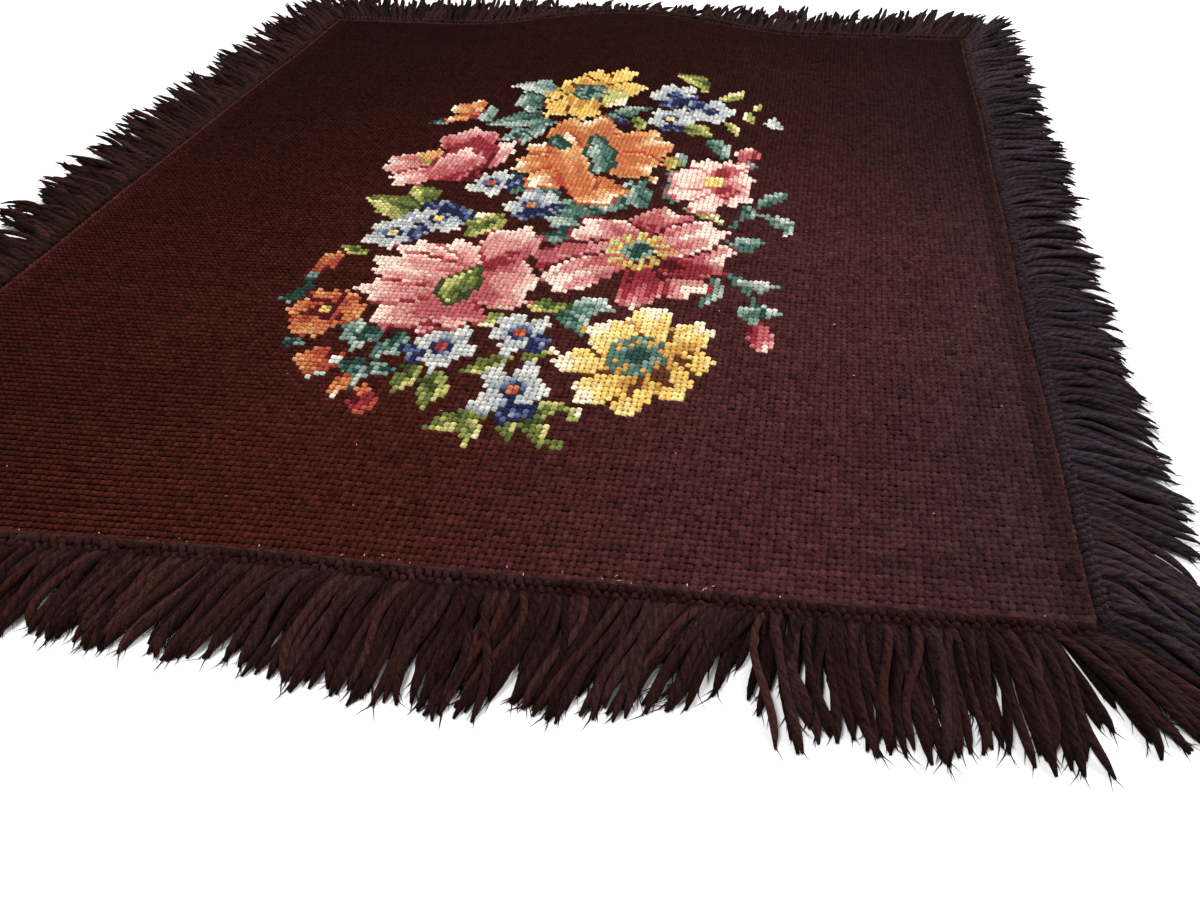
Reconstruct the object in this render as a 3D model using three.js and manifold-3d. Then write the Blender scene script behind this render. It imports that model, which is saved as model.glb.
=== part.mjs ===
// Needlepoint canvas panel: a nearly square panel of dark wool tent stitch with a cut yarn fringe
// on its four sides, lying flat but for a low swell in the middle of its back edge.
// Millimetres, +Z up. The origin is on the surface that it lies on, under the middle of the panel.

import * as THREE from "three";
import { mergeVertices } from "three/addons/utils/BufferGeometryUtils.js";
import Module from "manifold-3d";

const wasm = await Module();
wasm.setup();

// The stitched panel. Its size is a count of stitches on canvas with ten meshes to the inch.
const STITCH_PITCH = 2.54;
const STITCHES_ACROSS = 182;
const STITCHES_DEEP = 188;
const PANEL_WIDTH = STITCHES_ACROSS * STITCH_PITCH;
const PANEL_DEPTH = STITCHES_DEEP * STITCH_PITCH;
const PANEL_THICKNESS = 3;

// Slanted stitches pull the canvas out of square: rows and columns each turn by this angle.
const SKEW = THREE.MathUtils.degToRad(3.64);

// The edges wander in and out by about this much, in slow waves.
const EDGE_WANDER = 0.8;

// The low swell: how high the back edge stands there, where its middle is, how far it spreads
// to either side, and how far from the panel's middle it starts to rise.
const SWELL_HEIGHT = 10.9;
const SWELL_MIDDLE = -8;
const SWELL_REACH = 130;
const SWELL_START = 20;

// Steps along each edge of the panel, which its heading follows.
const EDGE_STEPS = 14;

// The knotted heading that carries the fringe, just off the edge of the stitching.
const HEADING_GAP = 0.3;
const HEADING_WIDTH = 4.6;
const HEADING_HEIGHT = 3.6;

// One lock of the fringe. Its root is sunk into the heading, and it lies on the floor.
// reach: share of its length; width: measured along the side of the panel.
const ROOT_DEPTH = 2.4;
const LOCK_SECTIONS = [
  { reach: 0, width: 5.5, height: 3.1 },
  { reach: 0.55, width: 5.2, height: 2.8 },
  { reach: 1, width: 1.8, height: 1 },
];
const LEAN_SCATTER = 1;
const BEND_SCATTER = 3;
const LENGTH_SCATTER = 2.6;
const LOCKS_IN_CLUMP = 3;

// How the fringe lies on each side, going round from the front left corner.
// at: share of the side's length; lean: degrees from straight out, towards the side's end;
// reach: how far the tips stand off the stitching, in millimetres.
const FRONT_LAY = [
  { at: 0.0, lean: -36, reach: 41 },
  { at: 0.06, lean: -16, reach: 43 },
  { at: 0.2, lean: -4, reach: 44 },
  { at: 0.33, lean: -5, reach: 46 },
  { at: 0.35, lean: -7, reach: 38 },
  { at: 0.45, lean: -16, reach: 39 },
  { at: 0.54, lean: -5, reach: 47 },
  { at: 0.66, lean: -12, reach: 45 },
  { at: 0.775, lean: -21, reach: 41 },
  { at: 0.79, lean: 13, reach: 45 },
  { at: 0.88, lean: 6, reach: 46 },
  { at: 0.95, lean: 16, reach: 44 },
  { at: 1.0, lean: 36, reach: 40 },
];
const RIGHT_LAY = [
  { at: 0.0, lean: -38, reach: 41 },
  { at: 0.07, lean: -30, reach: 43 },
  { at: 0.16, lean: -20, reach: 42 },
  { at: 0.3, lean: -9, reach: 40 },
  { at: 0.42, lean: -6, reach: 41 },
  { at: 0.5, lean: -8, reach: 36 },
  { at: 0.52, lean: 6, reach: 42 },
  { at: 0.64, lean: -4, reach: 43 },
  { at: 0.76, lean: -8, reach: 38 },
  { at: 0.78, lean: 6, reach: 42 },
  { at: 0.93, lean: 10, reach: 41 },
  { at: 1.0, lean: 36, reach: 40 },
];
const BACK_LAY = [
  { at: 0.0, lean: -36, reach: 41 },
  { at: 0.08, lean: -18, reach: 43 },
  { at: 0.22, lean: -10, reach: 39 },
  { at: 0.3, lean: -4, reach: 44 },
  { at: 0.5, lean: -6, reach: 42 },
  { at: 0.52, lean: 6, reach: 41 },
  { at: 0.7, lean: 2, reach: 44 },
  { at: 0.86, lean: 12, reach: 41 },
  { at: 1.0, lean: 36, reach: 41 },
];
const LEFT_LAY = [
  { at: 0.0, lean: -38, reach: 42 },
  { at: 0.1, lean: -30, reach: 43 },
  { at: 0.3, lean: -26, reach: 41 },
  { at: 0.42, lean: -20, reach: 44 },
  { at: 0.6, lean: -18, reach: 40 },
  { at: 0.8, lean: -8, reach: 43 },
  { at: 0.93, lean: 12, reach: 42 },
  { at: 1.0, lean: 36, reach: 41 },
];

// The four sides: out is the way straight out of the side, in the work's own u and v.
const SIDES = [
  { name: "fringe_front", locks: 70, lay: FRONT_LAY, edge: frontEdge, out: new THREE.Vector2(0, -1) },
  { name: "fringe_right", locks: 72, lay: RIGHT_LAY, edge: rightEdge, out: new THREE.Vector2(1, 0) },
  { name: "fringe_back", locks: 70, lay: BACK_LAY, edge: backEdge, out: new THREE.Vector2(0, 1) },
  { name: "fringe_left", locks: 72, lay: LEFT_LAY, edge: leftEdge, out: new THREE.Vector2(-1, 0) },
];

const WORK_BROWN = 0x3b1c19;
const FRINGE_BROWN = 0x33201f;

// Slow waves of an edge, at a share t of its length; each side has its own phase.
function wander(t, phase) {
  const slow = Math.sin(2 * Math.PI * 1.5 * t + phase);
  const quick = Math.sin(2 * Math.PI * 3.5 * t + 2 * phase);
  return EDGE_WANDER * (0.6 * slow + 0.4 * quick);
}

// Each edge gives the point (u, v) of the work at a share t of the side, going round.
function frontEdge(t) {
  return new THREE.Vector2((t - 0.5) * PANEL_WIDTH, -PANEL_DEPTH / 2 - wander(t, 1));
}

function rightEdge(t) {
  return new THREE.Vector2(PANEL_WIDTH / 2 + wander(t, 2), (t - 0.5) * PANEL_DEPTH);
}

function backEdge(t) {
  return new THREE.Vector2((0.5 - t) * PANEL_WIDTH, PANEL_DEPTH / 2 + wander(t, 3));
}

function leftEdge(t) {
  return new THREE.Vector2(-PANEL_WIDTH / 2 - wander(t, 4), (0.5 - t) * PANEL_DEPTH);
}

// Height of the work's underside over the floor.
function lift(u, v) {
  const aside = Math.abs(u - SWELL_MIDDLE) / SWELL_REACH;
  const back = THREE.MathUtils.clamp((v - SWELL_START) / (PANEL_DEPTH / 2 - SWELL_START), 0, 1);
  const crest = aside < 1 ? Math.cos((Math.PI / 2) * aside) ** 2 : 0;
  return SWELL_HEIGHT * crest * back * back * (2 - back);
}

// Where a point of the work lies, out of square as the stitches pull it.
function place(u, v, z) {
  const x = u * Math.cos(SKEW) + v * Math.sin(SKEW);
  const y = u * Math.sin(SKEW) + v * Math.cos(SKEW);
  return new THREE.Vector3(x, y, z);
}

// A spread of values between -1 and 1 that looks uneven but is the same each time.
function uneven(index, kind) {
  const GOLDEN = 0.618034;
  const SILVER = 0.414214;
  return 2 * ((index * GOLDEN + kind * SILVER) % 1) - 1;
}

// The lean and reach of the fringe at a share t of its side.
function layAt(lay, t) {
  const last = lay.length - 2;
  const found = lay.findIndex((row, i) => i <= last && t <= lay[i + 1].at);
  const from = lay[found];
  const to = lay[found + 1];
  const share = (t - from.at) / (to.at - from.at);
  return {
    lean: THREE.MathUtils.lerp(from.lean, to.lean, share),
    reach: THREE.MathUtils.lerp(from.reach, to.reach, share),
  };
}

function geometryOf(points, triangles) {
  const geometry = new THREE.BufferGeometry();
  const flat = points.flatMap((point) => [point.x, point.y, point.z]);
  geometry.setAttribute("position", new THREE.Float32BufferAttribute(flat, 3));
  geometry.setIndex(triangles);
  return geometry;
}

// A closed bar through a row of four-cornered sections, each listed bottom first,
// anticlockwise as seen looking back along the bar.
function bar(sections) {
  const CORNERS = 4;
  const triangles = [];
  for (let ring = 0; ring + 1 < sections.length; ring += 1) {
    for (let corner = 0; corner < CORNERS; corner += 1) {
      const a = ring * CORNERS + corner;
      const b = ring * CORNERS + ((corner + 1) % CORNERS);
      triangles.push(a, b, b + CORNERS, a, b + CORNERS, a + CORNERS);
    }
  }
  const end = (sections.length - 1) * CORNERS;
  triangles.push(0, 2, 1, 0, 3, 2);
  triangles.push(end, end + 1, end + 2, end, end + 2, end + 3);
  return geometryOf(sections.flat(), triangles);
}

function solidOf(geometry) {
  const merged = mergeVertices(geometry);
  return new wasm.Manifold(
    new wasm.Mesh({
      numProp: 3,
      vertProperties: new Float32Array(merged.getAttribute("position").array),
      triVerts: new Uint32Array(merged.getIndex().array),
    }),
  );
}

function geometryFrom(solid) {
  const mesh = solid.getMesh();
  const geometry = new THREE.BufferGeometry();
  geometry.setAttribute("position", new THREE.BufferAttribute(mesh.vertProperties, 3));
  geometry.setIndex(new THREE.BufferAttribute(mesh.triVerts, 1));
  geometry.computeVertexNormals();
  return geometry;
}

// The stitched panel: one sheet of even thickness, a grid of points on its underside and its face.
function panelGeometry() {
  const shares = Array.from({ length: EDGE_STEPS + 1 }, (_, step) => step / EDGE_STEPS);
  const underside = shares.flatMap((deep) =>
    shares.map((across) => {
      const u = THREE.MathUtils.lerp(leftEdge(1 - deep).x, rightEdge(deep).x, across);
      const v = THREE.MathUtils.lerp(frontEdge(across).y, backEdge(1 - across).y, deep);
      return place(u, v, lift(u, v));
    }),
  );
  const face = underside.map((point) => new THREE.Vector3(point.x, point.y, point.z + PANEL_THICKNESS));
  const stride = EDGE_STEPS + 1;
  const count = underside.length;
  const triangles = [];
  for (let row = 0; row < EDGE_STEPS; row += 1) {
    for (let column = 0; column < EDGE_STEPS; column += 1) {
      const a = row * stride + column;
      const b = a + stride;
      triangles.push(a, b, a + 1, a + 1, b, b + 1);
      triangles.push(count + a, count + a + 1, count + b, count + a + 1, count + b + 1, count + b);
    }
  }
  const rim = [];
  const lastRow = EDGE_STEPS * stride;
  for (let step = 0; step < EDGE_STEPS; step += 1) {
    rim.push([step, step + 1]);
    rim.push([step * stride + EDGE_STEPS, (step + 1) * stride + EDGE_STEPS]);
    rim.push([lastRow + step + 1, lastRow + step]);
    rim.push([(step + 1) * stride, step * stride]);
  }
  for (const [a, b] of rim) {
    triangles.push(a, b, count + b, a, count + b, count + a);
  }
  return geometryOf([...underside, ...face], triangles);
}

function headingGeometry(side) {
  const { out } = side;
  const sections = [];
  for (let step = 0; step <= EDGE_STEPS; step += 1) {
    const edge = side.edge(step / EDGE_STEPS);
    const near = edge.clone().addScaledVector(out, HEADING_GAP);
    const far = edge.clone().addScaledVector(out, HEADING_GAP + HEADING_WIDTH);
    const base = lift(edge.x, edge.y);
    sections.push([
      place(near.x, near.y, base),
      place(near.x, near.y, base + HEADING_HEIGHT),
      place(far.x, far.y, base + HEADING_HEIGHT),
      place(far.x, far.y, base),
    ]);
  }
  return bar(sections);
}

function lockGeometry(side, index) {
  const t = (index + 0.5) / side.locks;
  const { out } = side;
  const along = new THREE.Vector2(-out.y, out.x);
  const lay = layAt(side.lay, t);
  const lean = THREE.MathUtils.degToRad(lay.lean + LEAN_SCATTER * uneven(index, 1));
  const clump = Math.floor(index / LOCKS_IN_CLUMP);
  const bend = THREE.MathUtils.degToRad(BEND_SCATTER * uneven(clump, 2));
  const length = lay.reach + LENGTH_SCATTER * uneven(index, 3) - HEADING_GAP - ROOT_DEPTH;
  const edge = side.edge(t);
  const rootLift = lift(edge.x, edge.y);
  const root = edge.clone().addScaledVector(out, HEADING_GAP + HEADING_WIDTH - ROOT_DEPTH);
  const spine = (share) => {
    const sideways = length * share * Math.tan(lean + bend * (share - 0.5));
    return root.clone().addScaledVector(out, length * share).addScaledVector(along, sideways);
  };
  const sections = LOCK_SECTIONS.map(({ reach, width, height }) => {
    const middle = spine(reach);
    const left = middle.clone().addScaledVector(along, -width / 2);
    const right = middle.clone().addScaledVector(along, width / 2);
    const base = rootLift * (1 - reach) ** 2;
    return [
      place(right.x, right.y, base),
      place(right.x, right.y, base + height),
      place(left.x, left.y, base + height),
      place(left.x, left.y, base),
    ];
  });
  return bar(sections);
}

function fringeGeometry(side) {
  let fringe = solidOf(headingGeometry(side));
  for (let index = 0; index < side.locks; index += 1) {
    fringe = fringe.add(solidOf(lockGeometry(side, index)));
  }
  return geometryFrom(fringe);
}

function woolMesh(name, geometry, color) {
  const material = new THREE.MeshStandardMaterial({ color, roughness: 0.95, metalness: 0 });
  const mesh = new THREE.Mesh(geometry, material);
  mesh.name = name;
  return mesh;
}

const panel = new THREE.Group();
panel.add(woolMesh("canvas_panel", panelGeometry(), WORK_BROWN));
for (const side of SIDES) {
  panel.add(woolMesh(side.name, fringeGeometry(side), FRINGE_BROWN));
}

export default panel;
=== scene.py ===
"""Looks of a needlepoint canvas panel: wool tent stitch with a bouquet, and a cut yarn fringe."""

import logging
import math
from dataclasses import dataclass
from enum import Enum
from typing import Any, ClassVar, Sequence, Union

import bpy
import numpy as np
from mathutils import Matrix, Vector


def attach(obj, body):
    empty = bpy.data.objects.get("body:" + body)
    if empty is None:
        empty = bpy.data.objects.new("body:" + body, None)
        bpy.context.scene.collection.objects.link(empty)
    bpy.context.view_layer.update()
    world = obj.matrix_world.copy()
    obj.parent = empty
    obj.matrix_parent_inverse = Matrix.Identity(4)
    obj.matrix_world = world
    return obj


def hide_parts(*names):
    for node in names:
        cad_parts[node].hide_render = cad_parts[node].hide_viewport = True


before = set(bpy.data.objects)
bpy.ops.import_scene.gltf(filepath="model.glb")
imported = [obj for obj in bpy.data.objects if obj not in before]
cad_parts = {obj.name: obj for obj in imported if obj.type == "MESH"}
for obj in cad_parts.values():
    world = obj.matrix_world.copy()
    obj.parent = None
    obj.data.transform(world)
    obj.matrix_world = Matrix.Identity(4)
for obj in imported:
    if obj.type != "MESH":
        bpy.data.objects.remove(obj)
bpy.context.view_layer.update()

LOG = logging.getLogger("needlepoint")
MM = 0.001
SEED = 7
TINY = 1e-6
EDGE_WANDER = 0.8 * MM
BODY = "root"
COLOUR_LAYER = "wool"
FIBRE_LAYER = "fibre"
MIX_FACTOR, MIX_FIRST, MIX_SECOND, MIX_RESULT = 0, 6, 7, 2

Array = np.ndarray
Place = tuple[float, float]


def linear_levels(levels: Sequence[float]) -> Array:
    """A colour of levels from 0 to 255 as the renderer's own linear levels."""
    level = np.array(levels, float) / 255
    return np.where(level <= 0.04045, level / 12.92, ((level + 0.055) / 1.055) ** 2.4)


class Skein(Enum):
    """The wools of the work, as levels of red, green and blue from 0 to 255."""

    GROUND = (60, 24, 18)
    CREAM = (252, 232, 196)
    LEMON = (246, 214, 124)
    YELLOW = (238, 192, 84)
    GOLD = (204, 146, 46)
    BROWN = (98, 52, 26)
    PEACH = (230, 180, 124)
    APRICOT = (220, 148, 82)
    ORANGE = (202, 110, 50)
    RUST = (176, 66, 34)
    SHELL = (250, 216, 196)
    BLUSH = (236, 184, 168)
    PINK = (216, 138, 130)
    ROSE = (190, 86, 90)
    CRIMSON = (146, 32, 44)
    MAROON = (88, 18, 26)
    FROST = (214, 212, 202)
    PEARL = (184, 187, 184)
    SKY = (144, 152, 165)
    BLUE = (78, 92, 132)
    NAVY = (34, 38, 74)
    MIST = (172, 188, 172)
    SAGE = (126, 152, 138)
    TEAL = (76, 112, 98)
    PINE = (38, 70, 60)
    STRAW = (206, 196, 110)
    OLIVE = (152, 156, 72)
    MOSS = (102, 112, 48)
    FERN = (60, 72, 36)

    def linear(self) -> Array:
        """The wool's colour as the renderer's own linear levels."""
        return linear_levels(self.value)


SKEINS = list(Skein)

LEMONS = (Skein.BROWN, Skein.GOLD, Skein.YELLOW, Skein.LEMON, Skein.CREAM)
GOLDS = (Skein.BROWN, Skein.GOLD, Skein.YELLOW, Skein.YELLOW, Skein.LEMON)
ORANGES = (Skein.RUST, Skein.ORANGE, Skein.ORANGE, Skein.APRICOT, Skein.PEACH, Skein.CREAM)
PINKS = (Skein.CRIMSON, Skein.ROSE, Skein.PINK, Skein.BLUSH, Skein.SHELL)
REDS = (Skein.MAROON, Skein.CRIMSON, Skein.ROSE, Skein.PINK, Skein.SHELL)
PALES = (Skein.ROSE, Skein.PINK, Skein.BLUSH, Skein.SHELL, Skein.SHELL)
FLAMES = (Skein.MAROON, Skein.RUST, Skein.ORANGE, Skein.APRICOT)
FROSTS = (Skein.SKY, Skein.PEARL, Skein.FROST, Skein.FROST)
BLUES = (Skein.NAVY, Skein.NAVY, Skein.BLUE, Skein.SKY)
TEALS = (Skein.PINE, Skein.TEAL, Skein.SAGE, Skein.MIST)
PINES = (Skein.PINE, Skein.PINE, Skein.TEAL, Skein.SAGE)
MISTS = (Skein.TEAL, Skein.SAGE, Skein.MIST, Skein.FROST)
OLIVES = (Skein.FERN, Skein.MOSS, Skein.OLIVE, Skein.STRAW)
STRAWS = (Skein.MOSS, Skein.OLIVE, Skein.STRAW, Skein.CREAM)


def blurred(field_of_values: Array, reach: int) -> Array:
    """Smooth a grid of values by averaging each with its neighbours.

    Args:
        field_of_values: the grid.
        reach: how many neighbours to each side count.

    Returns:
        A grid of the same shape.
    """
    smooth = field_of_values
    for axis in (0, 1):
        shifted = [np.roll(smooth, step, axis) for step in range(-reach, reach + 1)]
        smooth = np.mean(shifted, axis=0)
    return smooth


class StitchChart:
    """The chart of the work: one wool for each stitch, counted from the middle of the panel."""

    def __init__(self, across: int, deep: int, seed: int) -> None:
        """Start a chart that is all ground.

        Args:
            across: stitches from left to right.
            deep: stitches from front to back.
            seed: start of the random draws for the worker's uneven hand.
        """
        rng = np.random.default_rng(seed)
        columns = np.arange(across) + 0.5 - across / 2
        rows = np.arange(deep) + 0.5 - deep / 2
        self.column, self.row = np.meshgrid(columns, rows)
        self.wool = np.full((deep, across), SKEINS.index(Skein.GROUND))
        self.grain = rng.uniform(-1, 1, (deep, across))
        clumps = blurred(rng.uniform(-1, 1, (deep, across)), 1)
        self.clumps = clumps / np.abs(clumps).max()

    def work(self, where: Array, shades: Sequence[Skein], tone: Array) -> None:
        """Work some stitches in shades of one colour.

        Args:
            where: which stitches.
            shades: wools from dark to light.
            tone: for each stitch, from 0 for the darkest to 1 for the lightest.
        """
        step = np.clip((tone * len(shades)).astype(int), 0, len(shades) - 1)
        order = np.array([SKEINS.index(shade) for shade in shades])
        self.wool[where] = order[step[where]]

    def from_point(self, at: Place) -> tuple[Array, Array]:
        """Each stitch's place as seen from a point.

        Args:
            at: the point, in stitches.

        Returns:
            The distances to the right and to the back, in stitches.
        """
        return self.column - at[0], self.row - at[1]

    def is_ground(self) -> Array:
        """Which stitches are plain ground."""
        return self.wool == SKEINS.index(Skein.GROUND)


def grown(where: Array) -> Array:
    """Widen a patch of stitches by one stitch on each side.

    Args:
        where: which stitches are in the patch.

    Returns:
        Which stitches are in the patch or next to it.
    """
    near = where.copy()
    for axis in (0, 1):
        near |= np.roll(where, 1, axis) | np.roll(where, -1, axis)
    return near


@dataclass(frozen=True)
class Petal:
    """A petal that widens from its foot to a ruffled rim.

    turn is its heading in degrees, anticlockwise from the right; length and width are in stitches; foot is
    where it begins, from the middle of the bloom; light makes all of it paler; lit makes its left side paler,
    seen from its foot; wedge is the length of the dark wedge at its foot; dark_tip turns its shades round;
    shades are its own wools, where they aren't the bloom's; full is the share of its length where it is
    widest, and narrow the share of its width that it has at its foot.
    """

    RAGGED: ClassVar[float] = 0.35
    RAGGED_SIDE: ClassVar[float] = 0.6
    SCALLOP: ClassVar[float] = 0.45
    SCALLOPS: ClassVar[float] = 6.5
    VEINS: ClassVar[float] = 5.5
    VEIN_SLANT: ClassVar[float] = 2.0
    RIM_FROM: ClassVar[float] = 0.74
    RIM_BREADTH: ClassVar[float] = 0.2
    RIM_SIDE: ClassVar[float] = 0.9
    RIM_FADES_BELOW: ClassVar[float] = 0.5
    WEDGE_BREADTH: ClassVar[float] = 0.56
    FOOT_TONE: ClassVar[float] = 0.14
    REACH_TONE: ClassVar[float] = 0.5
    RIM_TONE: ClassVar[float] = 0.26
    VEIN_TONE: ClassVar[float] = 0.08
    GRAIN_TONE: ClassVar[float] = 0.04

    turn: float
    length: float
    width: float
    foot: Place = (0.0, 0.0)
    light: float = 0.0
    lit: float = 0.0
    wedge: float = 0.0
    dark_tip: bool = False
    shades: tuple[Skein, ...] = ()
    full: float = 0.62
    narrow: float = 0.42

    def work(self, chart: StitchChart, at: Place, shades: Sequence[Skein], ruffle: float) -> None:
        """Work the petal on the chart, with a dark line where it lies over others.

        Args:
            chart: the chart.
            at: the middle of the bloom.
            shades: the bloom's wools from dark to light, where the petal has none of its own.
            ruffle: how ragged its edge is.
        """
        shades = self.shades or shades
        right, back = chart.from_point((at[0] + self.foot[0], at[1] + self.foot[1]))
        heading = math.radians(self.turn)
        along = (right * math.cos(heading) + back * math.sin(heading)) / self.length
        aside = (back * math.cos(heading) - right * math.sin(heading)) / (self.width / 2)
        scallops = self.SCALLOP * np.cos(self.SCALLOPS * aside + self.turn)
        tip = along + ruffle * (self.RAGGED * chart.clumps + scallops)
        reach = np.clip(tip, 0, 1)
        widening = self.narrow + (1 - self.narrow) * np.sin(math.pi / 2 * np.clip(reach / self.full, 0, 1))
        rounding = np.sqrt(np.clip(1 - (np.clip(reach - self.full, 0, 1) / (1 - self.full)) ** 2, 0, 1))
        ragged = 1 + self.RAGGED_SIDE * ruffle * chart.clumps
        edge = np.abs(aside) / np.maximum(widening * rounding * ragged, TINY)
        inside = (along >= 0) & (tip <= 1) & (edge <= 1)
        line = grown(inside) & ~inside & ~chart.is_ground()
        chart.work(line, shades[:2], 0.5 + 0.5 * chart.clumps)
        outermost = np.maximum(reach, edge * self.RIM_SIDE)
        rim = np.clip((outermost - self.RIM_FROM) / self.RIM_BREADTH, 0, 1)
        rim = rim * np.clip(reach / self.RIM_FADES_BELOW, 0, 1)
        rise = 1 - reach if self.dark_tip else reach
        veins = np.sin(self.VEINS * aside + self.VEIN_SLANT * reach)
        tone = self.FOOT_TONE + self.REACH_TONE * rise + self.RIM_TONE * rim * (not self.dark_tip)
        tone = tone + self.VEIN_TONE * veins + self.GRAIN_TONE * chart.grain
        tone = tone + self.light + self.lit * aside
        wedge_side = self.WEDGE_BREADTH * (1 - (reach / max(self.wedge, TINY)) ** 3)
        wedge = (reach < self.wedge) & (np.abs(aside) < wedge_side)
        chart.work(inside, shades, np.where(wedge, 0, tone))


@dataclass(frozen=True)
class Eye:
    """The middle of a bloom: a disc in two wools, and a ring of stamens round it.

    gap is how much of the ring is bare between the stamens, from -1 for none to 1 for all.
    """

    TWIST: ClassVar[float] = 0.6
    RAGGED: ClassVar[float] = 0.6
    SPECKLE: ClassVar[float] = 0.3
    MIDDLE_TONE: ClassVar[float] = 0.25
    RIM_TONE: ClassVar[float] = 0.55

    radius: float
    disc: tuple[Skein, Skein]
    stamen_reach: float = 0.0
    stamens: tuple[Skein, ...] = (Skein.GOLD, Skein.LEMON)
    spokes: int = 11
    gap: float = -0.25

    def work(self, chart: StitchChart, at: Place) -> None:
        """Work the eye on the chart, over what is there.

        Args:
            chart: the chart.
            at: its middle.
        """
        right, back = chart.from_point(at)
        away = np.hypot(right, back)
        spoke = np.sin(self.spokes * np.arctan2(back, right) + self.TWIST * away)
        within = away <= self.stamen_reach + self.RAGGED * chart.clumps
        ring = (away > self.radius) & within & (spoke > self.gap)
        chart.work(ring, self.stamens, 0.5 + 0.5 * spoke + self.SPECKLE * chart.grain)
        disc = away <= self.radius
        tone = self.MIDDLE_TONE + self.RIM_TONE * (away / self.radius) ** 2 + self.SPECKLE * chart.grain
        chart.work(disc, self.disc, tone)


@dataclass(frozen=True)
class Bloom:
    """An open bloom: petals from the back one to the front one, round an eye or a leaf worked later."""

    at: Place
    shades: tuple[Skein, ...]
    petals: tuple[Petal, ...]
    eye: Union[Eye, None] = None
    eye_off: Place = (0.0, 0.0)
    ruffle: float = 0.15

    def work(self, chart: StitchChart) -> None:
        """Work the bloom on the chart.

        Args:
            chart: the chart.
        """
        for petal in self.petals:
            petal.work(chart, self.at, self.shades, self.ruffle)
        if self.eye:
            self.eye.work(chart, (self.at[0] + self.eye_off[0], self.at[1] + self.eye_off[1]))


@dataclass(frozen=True)
class Leaf:
    """A pointed leaf from its foot to its tip, darker on one side of its rib."""

    RAGGED: ClassVar[float] = 0.2
    WAVE: ClassVar[float] = 0.14
    WAVES: ClassVar[float] = 14
    SLIMMEST: ClassVar[float] = 0.9
    OVERRUN: ClassVar[float] = 0.02
    MIDDLE_TONE: ClassVar[float] = 0.46
    LIGHT_HALF: ClassVar[float] = 0.24
    DARK_HALF: ClassVar[float] = -0.12
    RIB_LINE: ClassVar[float] = 0.1
    VEIN_TONE: ClassVar[float] = 0.12
    TIP_TONE: ClassVar[float] = 0.2
    GRAIN_TONE: ClassVar[float] = 0.06

    foot: Place
    tip: Place
    width: float
    shades: tuple[Skein, ...] = TEALS
    curve: float = 0.1

    def work(self, chart: StitchChart) -> None:
        """Work the leaf on the chart.

        Args:
            chart: the chart.
        """
        span = (self.tip[0] - self.foot[0], self.tip[1] - self.foot[1])
        length = math.hypot(*span)
        right, back = chart.from_point(self.foot)
        along = (right * span[0] + back * span[1]) / length**2
        reach = np.clip(along, 0, 1)
        off = (back * span[0] - right * span[1]) / length
        aside = (off - self.curve * length * 4 * reach * (1 - reach)) / (self.width / 2)
        belly = np.sin(math.pi * reach**0.85) ** 0.8
        ragged = 1 + self.RAGGED * chart.clumps + self.WAVE * np.sin(self.WAVES * reach)
        side = np.maximum(belly * ragged, self.SLIMMEST / self.width)
        inside = (along >= -self.OVERRUN) & (along <= 1 + self.OVERRUN) & (np.abs(aside) <= side)
        line = grown(inside) & ~inside & ~chart.is_ground()
        chart.work(line, self.shades[:1], np.zeros(chart.wool.shape))
        half = np.where(aside > self.RIB_LINE, self.LIGHT_HALF, self.DARK_HALF)
        veins = self.VEIN_TONE * np.sin(10 * reach + 4 * np.abs(aside))
        tone = self.MIDDLE_TONE + half + veins + self.TIP_TONE * (reach - 0.4) + self.GRAIN_TONE * chart.grain
        chart.work(inside, self.shades, tone)


@dataclass(frozen=True)
class Stem:
    """A stem one stitch wide, bowed between its ends."""

    foot: Place
    tip: Place
    bow: float = 0.1
    wool: Skein = Skein.TEAL

    def work(self, chart: StitchChart) -> None:
        """Work the stem on the chart, where the ground is bare.

        Args:
            chart: the chart.
        """
        span = (self.tip[0] - self.foot[0], self.tip[1] - self.foot[1])
        length = math.hypot(*span)
        for step in np.linspace(0, 1, int(length * 2) + 2):
            swing = self.bow * 4 * step * (1 - step)
            spot = (
                self.foot[0] + span[0] * step - span[1] * swing,
                self.foot[1] + span[1] * step + span[0] * swing,
            )
            right, back = chart.from_point(spot)
            here = (np.abs(right) <= 0.5) & (np.abs(back) <= 0.5) & chart.is_ground()
            chart.work(here, (self.wool,), np.zeros(chart.wool.shape))


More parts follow.
